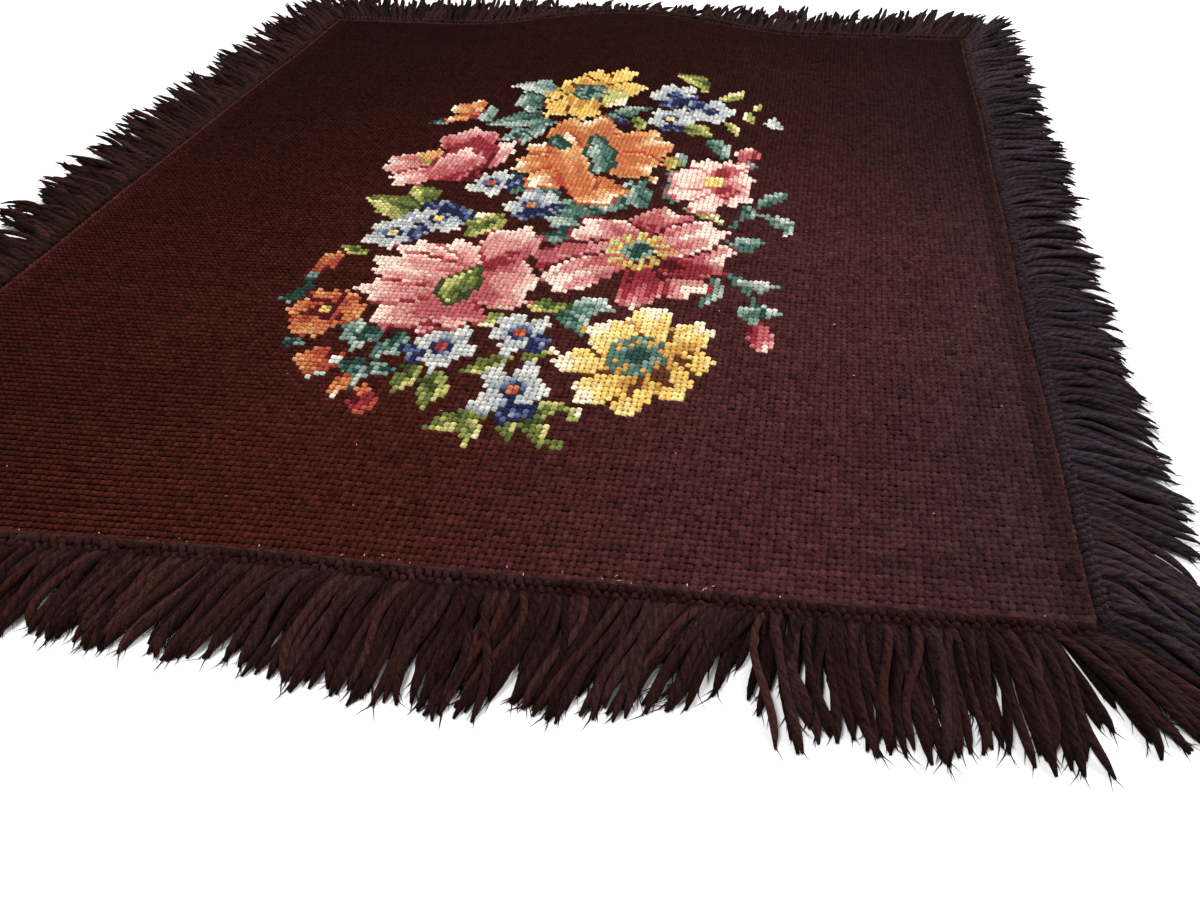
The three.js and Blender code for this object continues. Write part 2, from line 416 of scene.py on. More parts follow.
@dataclass(frozen=True)
class ForgetMeNot:
    """A small five-petalled flower, pale but for the petals on its blue side.

    blue_side is the heading of that side, and first_turn that of one petal, in degrees.
    """

    BLUE_WIDTH: ClassVar[float] = 0.9
    BLUE_RUFFLE: ClassVar[float] = 0.2
    PALE_LENGTH: ClassVar[float] = 0.96
    PALE_WIDTH: ClassVar[float] = 0.7
    PALE_RUFFLE: ClassVar[float] = 0.18
    HEART: ClassVar[float] = 2.0
    EYE: ClassVar[float] = 1.3

    at: Place
    radius: float = 6.0
    blue_side: float = -60.0
    eye: tuple[Skein, Skein] = (Skein.RUST, Skein.YELLOW)
    first_turn: float = 90.0

    def work(self, chart: StitchChart) -> None:
        """Work the flower on the chart, its blue petals first.

        Args:
            chart: the chart.
        """
        turns = [self.first_turn + 72 * count for count in range(5)]
        blue = [turn for turn in turns if math.cos(math.radians(turn - self.blue_side)) > 0.5]
        pale = [turn for turn in turns if turn not in blue]
        for turn in blue:
            petal = Petal(turn, self.radius, self.radius * self.BLUE_WIDTH, light=-0.02, narrow=0.6)
            petal.work(chart, self.at, BLUES, self.BLUE_RUFFLE)
        for turn in pale:
            petal = Petal(turn, self.radius * self.PALE_LENGTH, self.radius * self.PALE_WIDTH, narrow=0.4)
            petal.work(chart, self.at, FROSTS, self.PALE_RUFFLE)
        right, back = chart.from_point(self.at)
        away = np.hypot(right, back)
        chart.work(away < self.HEART, (Skein.NAVY, Skein.BLUE), 0.5 + 0.5 * chart.grain)
        chart.work(away < self.EYE, self.eye, 0.5 + 0.6 * chart.grain)


@dataclass(frozen=True)
class Bud:
    """A closed bud from its foot to its tip, with a small cup in another wool at its foot."""

    CUP_SIZE: ClassVar[float] = 0.28
    RUFFLE: ClassVar[float] = 0.1

    foot: Place
    tip: Place
    width: float
    shades: tuple[Skein, ...] = FLAMES
    cup: Skein = Skein.SAGE

    def work(self, chart: StitchChart) -> None:
        """Work the bud on the chart.

        Args:
            chart: the chart.
        """
        span = (self.tip[0] - self.foot[0], self.tip[1] - self.foot[1])
        turn = math.degrees(math.atan2(span[1], span[0]))
        length = math.hypot(*span)
        petal = Petal(turn, length, self.width, light=0.1, lit=0.2, full=0.5)
        petal.work(chart, self.foot, self.shades, self.RUFFLE)
        right, back = chart.from_point(self.foot)
        cup = np.hypot(right, back) < self.width * self.CUP_SIZE
        chart.work(cup, (self.cup,), np.zeros(chart.wool.shape))


BACK_LEAVES = (
    Leaf((-12, 43), (-25, 50), 7.5, MISTS, -0.2),
    Leaf((-14, 38), (-20, 46), 7.0, TEALS),
    Leaf((-13, 35), (-18, 40), 3.2, MISTS),
    Leaf((-9, 31), (-25, 29), 7.0, TEALS, -0.12),
    Leaf((-10, 29), (-20, 22), 6.6, MISTS, 0.06),
    Leaf((-15, 26), (-14, 20), 3.2, TEALS),
    Leaf((-4, 33), (-9, 31), 3.0, MISTS),
    Leaf((-25, 31), (-26, 39), 4.8, MISTS),
    Leaf((-33, 33), (-39, 29), 3.2, PINES),
    Leaf((2, 33), (13, 41), 5.0, TEALS),
    Leaf((0, 34), (8, 34), 4.4, PINES),
    Leaf((6, 32), (9, 34), 3.4, (Skein.NAVY, Skein.BLUE)),
    Leaf((25, 51), (15, 59), 5.2, OLIVES, -0.2),
    Leaf((28, 47), (34, 54), 3.6, STRAWS, -0.1),
    Leaf((38, 43), (38.5, 47), 2.0, STRAWS),
    Leaf((38, 36), (36, 43), 2.4, STRAWS),
    Leaf((44.5, 34), (42, 40), 3.8, FROSTS),
    Leaf((20, 33), (29, 28), 5.4, OLIVES),
    Leaf((31, 36), (35, 29), 2.8, STRAWS),
    Leaf((15, 28), (21, 20), 4.4, OLIVES, -0.1),
    Leaf((9, 36), (12, 29), 3.4, OLIVES),
    Leaf((28, 27), (33, 18), 4.6, TEALS, 0.14),
    Leaf((25, 14), (23, 21), 3.4, MISTS),
    Leaf((20, 18), (22, 12), 3.4, (Skein.OLIVE, Skein.GOLD, Skein.STRAW)),
    Leaf((22, 12), (24, 5), 4.2, MISTS),
    Leaf((19, 9), (18, 6), 3.6, (Skein.GOLD, Skein.PEACH, Skein.CREAM)),
    Leaf((22, 6), (25, -2), 4.6, TEALS),
    Leaf((36, 14), (41, 16), 3.6, TEALS),
    Leaf((43, -1), (48, 5), 4.0, TEALS),
    Leaf((45, -5), (50, -8), 3.8, MISTS, -0.1),
    Leaf((49, -8), (48, -12), 2.8, MISTS),
    Leaf((39, -1), (41, -7), 3.0, TEALS),
    Leaf((38, -18), (45, -14), 5.0, TEALS),
    Leaf((41, -28), (49, -28), 3.6, MISTS, -0.1),
    Leaf((37, -27), (35, -36), 3.4, TEALS),
    Leaf((43, -38), (50, -36), 3.8, MISTS),
    Leaf((43, -39), (46, -35), 4.0, TEALS),
    Leaf((10, -38), (17, -46), 5.6, TEALS, 0.12),
    Leaf((13, -37), (21, -39), 4.4, MISTS),
    Leaf((12, -38), (4, -37), 4.0, OLIVES),
    Leaf((-25, -9), (-31, 1), 6.6, OLIVES, -0.08),
    Leaf((-26, -14), (-39, -5), 7.4, OLIVES, -0.12),
    Leaf((-9, -9), (-14, -18), 8.0, OLIVES),
    Leaf((-17, -14), (-9, -10), 4.0, STRAWS),
    Leaf((-30, -25), (-36, -23), 3.6, OLIVES),
    Leaf((13, -4), (-1, -4), 8.0, MISTS, 0.06),
    Leaf((13, -13), (-3, -8), 8.6, TEALS, -0.1),
    Leaf((12, -17), (0, -17), 6.0, PINES, -0.1),
    Leaf((12, -6), (15, 7), 9.0, MISTS, 0.05),
    Leaf((19, -4), (17, 7), 6.0, TEALS),
    Leaf((-6, 0), (-12, 8), 6.0, PINES),
    Leaf((1, -3), (-6, 7), 6.0, TEALS),
    Leaf((-9, -55), (-10, -63), 4.8, OLIVES),
    Leaf((-5, -57), (-4, -66), 5.0, OLIVES),
    Leaf((5, -64), (-2, -70), 5.0, OLIVES),
    Leaf((5, -67), (5, -73), 3.2, STRAWS),
    Leaf((8, -65), (12, -71), 3.2, OLIVES),
    Leaf((13, -66), (17, -72), 3.4, OLIVES),
    Leaf((12, -66), (19, -63), 3.8, OLIVES),
    Leaf((18, -63), (21, -66), 2.6, STRAWS),
    Leaf((6, -50), (-1, -57), 4.2, OLIVES, 0.14),
    Leaf((9, -50), (10, -54), 3.4, OLIVES),
    Leaf((9, -50), (14, -51), 2.4, STRAWS),
    Leaf((2, -41), (-3, -45), 3.8, STRAWS),
    Leaf((-5, -43), (-8, -48), 4.0, OLIVES),
    Leaf((27, -3), (36, -9), 3.4, STRAWS),
    Leaf((-25, -45), (-20, -54), 4.4, MISTS),
    Leaf((-17, -47), (-21, -50), 4.0, PINES),
    Leaf((-13, -48), (-17, -55), 4.6, TEALS),
    Leaf((-17, -55), (-22, -58), 3.2, PINES),
    Leaf((-11, -58), (-16, -56), 3.0, TEALS),
    Leaf((-18, -57), (-17, -62), 3.4, TEALS),
    Leaf((-31, -50), (-32, -54), 3.4, PINES),
    Leaf((-35, -40), (-40, -40), 2.8, PINES),
    Leaf((-22, -58), (-27, -59), 3.0, MISTS),
)
STEMS = (
    Stem((37, -14), (47, 3)),
    Stem((33, -25), (43, -28)),
    Stem((41, -28), (46, -40)),
    Stem((41, -5), (49, -7), 0.1, Skein.SAGE),
    Stem((-34, -39), (-37, -31), 0.1, Skein.PINE),
    Stem((-38, -32), (-37, -38), 0.1, Skein.PINE),
    Stem((-16, -54), (-17, -62), 0.08, Skein.PINE),
    Stem((-20, -52), (-24, -56), 0.1, Skein.TEAL),
    Stem((34, 13), (39, 18), 0.1, Skein.SAGE),
    Stem((9, -52), (6, -66), 0.1, Skein.MOSS),
    Stem((19, -71), (11, -66), 0.1, Skein.MOSS),
)
BUDS = (
    Bud((-28, 36), (-36, 38), 5.6, ORANGES, Skein.CRIMSON),
    Bud((-29, 37), (-31, 42), 4.2, ORANGES, Skein.PEACH),
    Bud((-29, 33), (-35, 32), 3.8, ORANGES, Skein.CRIMSON),
    Bud((38, 17), (38, 24), 5.4, REDS, Skein.SAGE),
    Bud((-37, -33), (-35.5, -25), 4.4, FLAMES),
    Bud((-22, -56), (-29, -56), 5.6, FLAMES, Skein.FROST),
    Bud((-14.5, -62.5), (-12.5, -68), 4.4, (Skein.MAROON, Skein.CRIMSON, Skein.RUST), Skein.ORANGE),
    Bud((-19, -60), (-18.5, -65), 2.4, ORANGES, Skein.ORANGE),
    Bud((45, -39), (48, -47), 4.8, REDS),
)
FORGET_ME_NOTS = (
    ForgetMeNot((17, 48), 6.6, -60, (Skein.NAVY, Skein.BLUE), 120),
    ForgetMeNot((27, 41), 6.6, 150, (Skein.NAVY, Skein.BLUE), 78),
    ForgetMeNot((18, 36), 6.0, -75, (Skein.YELLOW, Skein.LEMON), 66),
    ForgetMeNot((-15, 3), 5.8, 0, (Skein.RUST, Skein.ORANGE), 150),
    ForgetMeNot((-4, -5), 5.8, -70, (Skein.ORANGE, Skein.APRICOT), 50),
    ForgetMeNot((-21, -12), 6.6, 45, (Skein.YELLOW, Skein.STRAW), 105),
    ForgetMeNot((-28, -18), 6.0, 0, (Skein.STRAW, Skein.LEMON), 72),
    ForgetMeNot((-6, -51), 6.2, 215, (Skein.CRIMSON, Skein.RUST), 64),
    ForgetMeNot((6, -46), 5.8, -30, (Skein.ORANGE, Skein.RUST), 45),
    ForgetMeNot((9, -60), 6.4, -70, (Skein.RUST, Skein.ORANGE), 74),
)
BLOOMS = (
    Bloom(
        (-4, 47),
        GOLDS,
        (
            Petal(56, 15, 7.0, light=0.12),
            Petal(92, 12, 7.0, wedge=0.6),
            Petal(140, 9.5, 8.5, wedge=0.75, light=-0.05),
            Petal(-156, 10.5, 7.0, light=0.02, wedge=0.4),
            Petal(16, 14, 7.0, light=0.08),
            Petal(-28, 11, 8.0, light=0.2, shades=(Skein.OLIVE, Skein.STRAW, Skein.STRAW, Skein.CREAM)),
            Petal(-122, 14, 8.0, light=0.06),
            Petal(-84, 13.5, 7.5, light=0.02),
        ),
        Eye(3.2, (Skein.PINE, Skein.SAGE), 4.4, (Skein.PINE, Skein.TEAL), 9),
    ),
    Bloom(
        (-23, 13),
        PINKS,
        (
            Petal(104, 14, 13, (-1, 0), -0.12),
            Petal(74, 14, 6.5, (3, -5), 0.14),
            Petal(98, 19, 10, (1, -10), shades=(Skein.MAROON, Skein.CRIMSON, Skein.CRIMSON, Skein.CRIMSON)),
            Petal(176, 14, 10, (-4, -4), 0.0),
            Petal(208, 11, 7, (-4, -6), 0.16),
            Petal(128, 9, 5, (-5, -4), shades=(Skein.OLIVE, Skein.APRICOT, Skein.PEACH)),
            Petal(84, 14, 9.5, (-3, -10), 0.0, 0.1),
        ),
    ),
    Bloom(
        (2, 17),
        ORANGES,
        (
            Petal(94, 17, 17, (-2, 0), -0.06),
            Petal(44, 18, 16, (3, -3), -0.04),
            Petal(-12, 13, 11, (4, -2), -0.02),
            Petal(140, 14, 11, (-2, -5), -0.02, 0.05),
            Petal(196, 12, 9, (-3, -3), 0.05),
            Petal(228, 13, 8, (0, -4), 0.16),
            Petal(-46, 14, 11, (0, -9), 0.06, -0.1),
            Petal(112, 27, 9, (3, -17), 0.08, -0.24, full=0.4),
        ),
        ruffle=0.16,
    ),
    Bloom(
        (32, 8),
        PALES,
        (
            Petal(62, 10, 8, light=0.12),
            Petal(112, 10, 7.5, light=0.2),
            Petal(8, 8.5, 8, light=0.12),
            Petal(-50, 11, 8, light=0.0),
            Petal(-95, 12.5, 8, light=0.16),
            Petal(-138, 10.5, 7.5, light=0.2),
            Petal(165, 9, 8, light=0.2),
            Petal(62, 4.5, 3.6, (0.8, 2), shades=(Skein.CRIMSON, Skein.ROSE)),
            Petal(-50, 4.5, 3.6, (1.4, -2), shades=(Skein.CRIMSON, Skein.ROSE)),
        ),
        Eye(2.2, (Skein.YELLOW, Skein.LEMON)),
    ),
    Bloom(
        (21, -19.5),
        REDS,
        (
            Petal(76, 15, 15, (1, 0), -0.08, 0.18),
            Petal(-36, 16, 10, (1, -3), 0.12),
            Petal(-86, 19, 8, (2, 0), -0.1),
            Petal(150, 15, 11, (0, 1), 0.28),
            Petal(187, 18, 11, (-1, -2), 0.24, 0.0, 0.0, True),
            Petal(212, 17, 10, (-1, -3), 0.3),
            Petal(-6, 17, 14, (1, 0), 0.02, 0.24, 0.45),
            Petal(30, 15, 11, (2, 1), 0.3),
        ),
        Eye(3.2, (Skein.PINE, Skein.SAGE), 6.4, (Skein.GOLD, Skein.STRAW), 11, -0.7),
    ),
    Bloom(
        (-8, -32),
        PINKS,
        (
            Petal(250, 16, 13, (-2, 0), -0.12),
            Petal(280, 11, 10, (0, -3), -0.16),
            Petal(222, 17, 13, (0, -1), -0.06),
            Petal(72, 20, 12, (0, -1), 0.0, 0.14),
            Petal(118, 14, 9, (-1, 0), 0.2),
            Petal(192, 19, 9, (0, -1), 0.06),
            Petal(146, 18, 8, (-1, 0), 0.22),
            Petal(168, 20, 8.5, (0, 0), 0.18),
            Petal(2, 13, 15, (0, -1), 0.04),
            Petal(30, 6, 4, (2, 5), shades=(Skein.CRIMSON, Skein.ROSE)),
        ),
        ruffle=0.12,
    ),
    Bloom(
        (27, -50),
        LEMONS,
        (
            Petal(-4, 12.5, 7.4, light=0.0, wedge=0.74, shades=GOLDS),
            Petal(-45, 12.5, 7.8, light=0.04, wedge=0.78, shades=GOLDS),
            Petal(-87, 14, 7.0, light=0.04, wedge=0.72, shades=GOLDS),
            Petal(36, 14, 7.4, light=0.06, lit=0.2),
            Petal(88, 13.5, 8.2, light=0.18),
            Petal(-122, 14, 7.2, light=0.12, lit=-0.12),
            Petal(193, 13.5, 6.6, light=0.16),
            Petal(140, 11.5, 8.2, light=0.22),
        ),
        Eye(1.8, (Skein.PINE, Skein.PINE), 5.2, (Skein.GOLD, Skein.TEAL, Skein.SAGE, Skein.TEAL), 8, -2.0),
        ruffle=0.07,
    ),
    Bloom(
        (-30, -43),
        FLAMES,
        (
            Petal(62, 6.2, 6.6, light=0.16, wedge=0.42),
            Petal(122, 6.2, 6.6, light=0.16, wedge=0.42),
            Petal(185, 6.6, 6.2, light=0.14, wedge=0.42),
            Petal(-8, 7, 6.6, light=0.14, wedge=0.42),
            Petal(-94, 7.4, 8.4, light=0.18, wedge=0.42),
        ),
        Eye(1.4, (Skein.OLIVE, Skein.YELLOW)),
    ),
)
FRONT_LEAVES = (
    Leaf((7, 9), (2, 26), 5.6, TEALS, -0.06),
    Leaf((-3, 20), (-7, 25), 2.6, PINES),
    Leaf((-9, -39), (-7, -28), 5.8, OLIVES),
)


@dataclass(frozen=True)
class Bouquet:
    """The spray of flowers in the middle of the panel, from the leaves behind to those in front."""

    layers: tuple[Sequence[Any], ...] = (BACK_LEAVES, STEMS, BUDS, FORGET_ME_NOTS, BLOOMS, FRONT_LEAVES)

    def work(self, chart: StitchChart) -> None:
        """Work the whole spray on the chart.

        Args:
            chart: the chart.
        """
        for layer in self.layers:
            for motif in layer:
                motif.work(chart)


def wander(share: Array, phase: float) -> Array:
    """Slow waves of an edge of the work.

    Args:
        share: where along the edge, from 0 to 1.
        phase: where the waves start, different on each side.

    Returns:
        How far the edge lies out of its line, in metres.
    """
    slow = np.sin(2 * math.pi * 1.5 * share + phase)
    quick = np.sin(2 * math.pi * 3.5 * share + 2 * phase)
    return EDGE_WANDER * (0.6 * slow + 0.4 * quick)


@dataclass(frozen=True)
class Lie:
    """How the work lies: its size, the skew that its stitches give it, and the low swell at its back."""

    pitch: float = 2.54 * MM
    across: int = 182
    deep: int = 188
    skew: float = math.radians(3.64)
    swell_height: float = 10.9 * MM
    swell_middle: float = -8 * MM
    swell_reach: float = 130 * MM
    swell_start: float = 20 * MM

    @property
    def width(self) -> float:
        """From the left edge to the right edge."""
        return self.across * self.pitch

    @property
    def depth(self) -> float:
        """From the front edge to the back edge."""
        return self.deep * self.pitch

    def spread(self, column: Array, row: Array) -> tuple[Array, Array]:
        """Where a stitch is on the work, with the edges' slow waves.

        Args:
            column: stitches from the left edge.
            row: stitches from the front edge.

        Returns:
            Metres to the right and to the back of the middle.
        """
        right, back = column / self.across, row / self.deep
        left_edge = -self.width / 2 - wander(1 - back, 4)
        right_edge = self.width / 2 + wander(back, 2)
        front_edge = -self.depth / 2 - wander(right, 1)
        back_edge = self.depth / 2 + wander(1 - right, 3)
        return left_edge + (right_edge - left_edge) * right, front_edge + (back_edge - front_edge) * back

    def lift(self, u: Array, v: Array) -> Array:
        """Height of the underside over the floor.

        Args:
            u: metres to the right of the middle, on the work.
            v: metres to the back of the middle, on the work.

        Returns:
            Metres, more than nothing only in the swell.
        """
        aside = np.clip(np.abs(u - self.swell_middle) / self.swell_reach, 0, 1)
        back = np.clip((v - self.swell_start) / (self.depth / 2 - self.swell_start), 0, 1)
        return self.swell_height * np.cos(math.pi / 2 * aside) ** 2 * back * back * (2 - back)

    def square_off(self, u: Array, v: Array, z: Array) -> Array:
        """Points in the frame from places on the work, out of square as the stitches pull it.

        Args:
            u: metres to the right of the middle, on the work.
            v: metres to the back of the middle, on the work.
            z: metres over the floor.

        Returns:
            Points, with x, y, z last.
        """
        x = u * math.cos(self.skew) + v * math.sin(self.skew)
        y = u * math.sin(self.skew) + v * math.cos(self.skew)
        return np.stack(np.broadcast_arrays(x, y, z), axis=-1)

    def place(self, u: Array, v: Array, height: Array) -> Array:
        """Points in the frame at a height over the underside of the work."""
        return self.square_off(u, v, self.lift(u, v) + height)


class MeshPile:
    """Many small lattices of points, gathered into one mesh with a wool colour at each point."""

    def __init__(self) -> None:
        """Start with nothing."""
        self.points: list[Array] = []
        self.colours: list[Array] = []
        self.fibres: list[Array] = []
        self.faces: list[Array] = []
        self.count = 0

    def add(
        self,
        points: Array,
        colours: Array,
        fibres: Union[Array, None] = None,
        wrap: bool = False,
        cap: bool = False,
    ) -> None:
        """Add a row of like lattices.

        Args:
            points: lattices by lines by points of a line, and x, y, z.
            colours: a colour for each lattice, each line or each point.
            fibres: for each point, how far along its wool's fibres it is, and how far aside of them.
            wrap: whether each line closes on itself.
            cap: whether the last line of each lattice is closed by a face.
        """
        lattices, lines, line = points.shape[:3]
        index = np.arange(lattices * lines * line).reshape(lattices, lines, line) + self.count
        ahead = np.roll(index, -1, axis=2) if wrap else index[:, :, 1:]
        here = index if wrap else index[:, :, :-1]
        quads = np.stack([here[:, :-1], ahead[:, :-1], ahead[:, 1:], here[:, 1:]], axis=-1)
        self.faces.append(quads.reshape(-1, 4))
        if cap:
            self.faces.append(index[:, -1, :].copy())
        self.points.append(points.reshape(-1, 3))
        while colours.ndim < 4:
            colours = np.expand_dims(colours, axis=-2)
        self.colours.append(np.broadcast_to(colours, points.shape).reshape(-1, 3))
        lie_of_fibres = points if fibres is None else np.broadcast_to(fibres, points.shape)
        self.fibres.append(lie_of_fibres.reshape(-1, 3))
        self.count += lattices * lines * line

    def build(self, name: str, material: bpy.types.Material) -> bpy.types.Object:
        """Make the mesh and its object.

        Args:
            name: the piece's name.
            material: its finish.

        Returns:
            The new object, in the scene.
        """
        mesh = bpy.data.meshes.new(name)
        points = np.concatenate(self.points).astype(np.float32)
        sizes = np.concatenate([np.full(len(faces), faces.shape[1]) for faces in self.faces])
        corners = np.concatenate([faces.ravel() for faces in self.faces])
        mesh.vertices.add(len(points))
        mesh.vertices.foreach_set("co", points.ravel())
        mesh.loops.add(len(corners))
        mesh.loops.foreach_set("vertex_index", corners.astype(np.int32))
        mesh.polygons.add(len(sizes))
        starts = np.concatenate([[0], np.cumsum(sizes)[:-1]])
        mesh.polygons.foreach_set("loop_start", starts.astype(np.int32))
        mesh.polygons.foreach_set("use_smooth", np.ones(len(sizes), bool))
        layer = mesh.attributes.new(COLOUR_LAYER, "FLOAT_COLOR", "POINT")
        colours = np.concatenate(self.colours)
        opaque = np.column_stack([colours, np.ones(len(colours))])
        layer.data.foreach_set("color", opaque.astype(np.float32).ravel())
        lengths = mesh.attributes.new(FIBRE_LAYER, "FLOAT_VECTOR", "POINT")
        lengths.data.foreach_set("vector", np.concatenate(self.fibres).astype(np.float32).ravel())
        mesh.update(calc_edges=True)
        mesh.validate()
        mesh.materials.append(material)
        piece = bpy.data.objects.new(name, mesh)
        bpy.context.scene.collection.objects.link(piece)
        return piece


class Wire:
    """A shader socket that takes part in Python expressions on values."""

    def __init__(self, nodes: "NodeBoard", socket: Union[bpy.types.NodeSocket, None]) -> None:
        """Hold a socket of a node on a board, or none for a node that only takes wires in."""
        self.nodes = nodes
        self.socket = socket

    def _maths(self, operation: str, first: Any, second: Any) -> "Wire":
        """Add a Math node on two values and give its result."""
        return self.nodes.add("ShaderNodeMath", {"operation": operation}, {0: first, 1: second})

    def __add__(self, other: Any) -> "Wire":
        """Sum."""
        return self._maths("ADD", self, other)

    def __radd__(self, other: Any) -> "Wire":
        """Sum, from the right."""
        return self._maths("ADD", other, self)

    def __mul__(self, other: Any) -> "Wire":
        """Product."""
        return self._maths("MULTIPLY", self, other)

    def __rmul__(self, other: Any) -> "Wire":
        """Product, from the right."""
        return self._maths("MULTIPLY", other, self)


class NodeBoard:
    """The nodes of one material."""

    def __init__(self, name: str) -> None:
        """Make a new material with an empty board.

        Args:
            name: the material's name.
        """
        self.material = bpy.data.materials.new(name)
        self.material.use_nodes = True
        self.tree = self.material.node_tree
        self.tree.nodes.clear()

    def add(self, kind: str, settings: dict[str, Any], sockets: dict[Any, Any], output: Any = 0) -> Wire:
        """Add a node.

        Args:
            kind: the node's type.
            settings: properties of the node, set first.
            sockets: input names or numbers, with values or wires.
            output: the name or number of the output that is wanted.

        Returns:
            A wire from that output.
        """
        node = self.tree.nodes.new(kind)
        for name, value in settings.items():
            setattr(node, name, value)
        for name, value in sockets.items():
            if isinstance(value, Wire):
                self.tree.links.new(value.socket, node.inputs[name])
            else:
                node.inputs[name].default_value = value
        return Wire(self, node.outputs[output] if node.outputs else None)

    def finish(self, sockets: dict[str, Any]) -> bpy.types.Material:
        """Close the board with a Principled shader.

        Args:
            sockets: its inputs, with values or wires.

        Returns:
            The finished material.
        """
        shader = self.add("ShaderNodeBsdfPrincipled", {}, sockets)
        self.add("ShaderNodeOutputMaterial", {"is_active_output": True}, {"Surface": shader})
        return self.material


@dataclass(frozen=True)
class WoolFinish:
    """Plied wool in the colour that each stitch or strand carries, with fibres along its lie.

    grain is how fine the fibres are along, across and from strand to strand; ply is how fast the plies turn
    in the same directions, and groove how far painted shade darkens the hollows between them and painted
    sheen lightens and blues their crests; shade and fuzz are how much the fibres and the loose hairs vary in
    level, and bloom how much the fibres vary in blue; relief is how much the fibres, the hairs and the plies
    stand out.
    """

    name: str
    grain: tuple[float, float, float]
    ply: tuple[float, float, float]
    groove: float = 0.06
    bloom: float = 0.3
    shade: float = 0.8
    fuzz: float = 1.5
    fuzz_scale: float = 1500.0
    bump: float = 0.45
    bump_depth: float = 0.25 * MM
    roughness: float = 0.86
    shine: float = 0.015
    sheen: float = 0.02
    sheen_roughness: float = 0.45
    sheen_tint: tuple[float, float, float, float] = (0.86, 0.76, 0.84, 1.0)
    detail: float = 3.0
    coarse: float = 0.6
    relief: tuple[float, float, float] = (0.5, 0.3, 0.1)

    def material(self) -> bpy.types.Material:
        """Make the material.

        Returns:
            The finished material.
        """
        board = NodeBoard(self.name)
        spot = board.add("ShaderNodeTexCoord", {}, {}, "Object")
        lengths = board.add("ShaderNodeAttribute", {"attribute_name": FIBRE_LAYER}, {}, "Vector")
        laid = board.add("ShaderNodeVectorMath", {"operation": "MULTIPLY"}, {0: lengths, 1: self.grain})
        fibre = board.add(
            "ShaderNodeTexNoise",
            {},
            {"Vector": laid, "Scale": 1.0, "Detail": self.detail, "Roughness": self.coarse},
            "Fac",
        )
        fuzz = board.add(
            "ShaderNodeTexNoise", {}, {"Vector": spot, "Scale": self.fuzz_scale, "Detail": self.detail}, "Fac"
        )
        turn = board.add(
            "ShaderNodeVectorMath", {"operation": "DOT_PRODUCT"}, {0: lengths, 1: self.ply}, "Value"
        )
        ply = board.add("ShaderNodeMath", {"operation": "SINE"}, {0: turn})
        wool = board.add("ShaderNodeAttribute", {"attribute_name": COLOUR_LAYER}, {}, "Color")
        # The groove term paints shade into the plies' hollows and a bluish sheen onto their crests.
        level = 1 - 0.5 * (self.shade + self.fuzz) + self.shade * fibre + self.fuzz * fuzz + self.groove * ply
        toned_level = level + self.bloom * (fibre + -0.5) + 0.5 * self.groove * ply
        grey = board.add("ShaderNodeCombineColor", {}, {0: level, 1: 0.5 * (level + toned_level), 2: toned_level})
        tinted = board.add(
            "ShaderNodeMix",
            {"data_type": "RGBA", "blend_type": "MULTIPLY"},
            {MIX_FACTOR: 1.0, MIX_FIRST: wool, MIX_SECOND: grey},
            MIX_RESULT,
        )
        of_fibre, of_fuzz, of_ply = self.relief
        relief = fibre * of_fibre + fuzz * of_fuzz + ply * of_ply
        normal = board.add(
            "ShaderNodeBump", {}, {"Height": relief, "Strength": self.bump, "Distance": self.bump_depth}
        )
        return board.finish(
            {
                "Base Color": tinted,
                "Roughness": self.roughness,
                "Specular IOR Level": self.shine,
                "Sheen Weight": self.sheen,
                "Sheen Roughness": self.sheen_roughness,
                "Sheen Tint": self.sheen_tint,
                "Normal": normal,
            }
        )


STITCHED_WOOL = WoolFinish(
    "stitched_wool",
    grain=(420.0, 3200.0, 900.0),
    ply=(2600.0, 6300.0, 6.3),
    fuzz=2.2,
    fuzz_scale=900.0,
)
FRINGE_YARN = WoolFinish(
    "fringe_yarn",
    grain=(90.0, 1.9, 37.0),
    ply=(0.0, 3.0, 6.3),
    groove=0.16,
    bloom=1.4,
    shade=1.6,
    fuzz=1.8,
    fuzz_scale=1300.0,
    bump=0.9,
    bump_depth=0.9 * MM,
)


@dataclass(frozen=True)
class FloorFinish:
    """A pale matt floor with the faintest mottling."""

    pale: tuple[float, float, float, float] = (0.9, 0.9, 0.9, 1.0)
    shade: tuple[float, float, float, float] = (0.86, 0.86, 0.865, 1.0)
    mottle_scale: float = 3.0
    mottle_detail: float = 2.0
    roughness: float = 0.95
    shine: float = 0.1

    def material(self) -> bpy.types.Material:
        """Make the material.

        Returns:
            The finished material.
        """
        board = NodeBoard("pale_floor")
        mottle = board.add(
            "ShaderNodeTexNoise", {}, {"Scale": self.mottle_scale, "Detail": self.mottle_detail}, "Fac"
        )
        colour = board.add(
            "ShaderNodeMix",
            {"data_type": "RGBA"},
            {MIX_FACTOR: mottle, MIX_FIRST: self.pale, MIX_SECOND: self.shade},
            MIX_RESULT,
        )
        return board.finish(
            {"Base Color": colour, "Roughness": self.roughness, "Specular IOR Level": self.shine}
        )


class Band(Enum):
    """The parts of the worked face, each its own piece."""

    FRONT = "stitched_ground_front"
    MIDDLE = "stitched_ground_middle"
    BACK = "stitched_ground_back"
    FLOWERS = "stitched_bouquet"


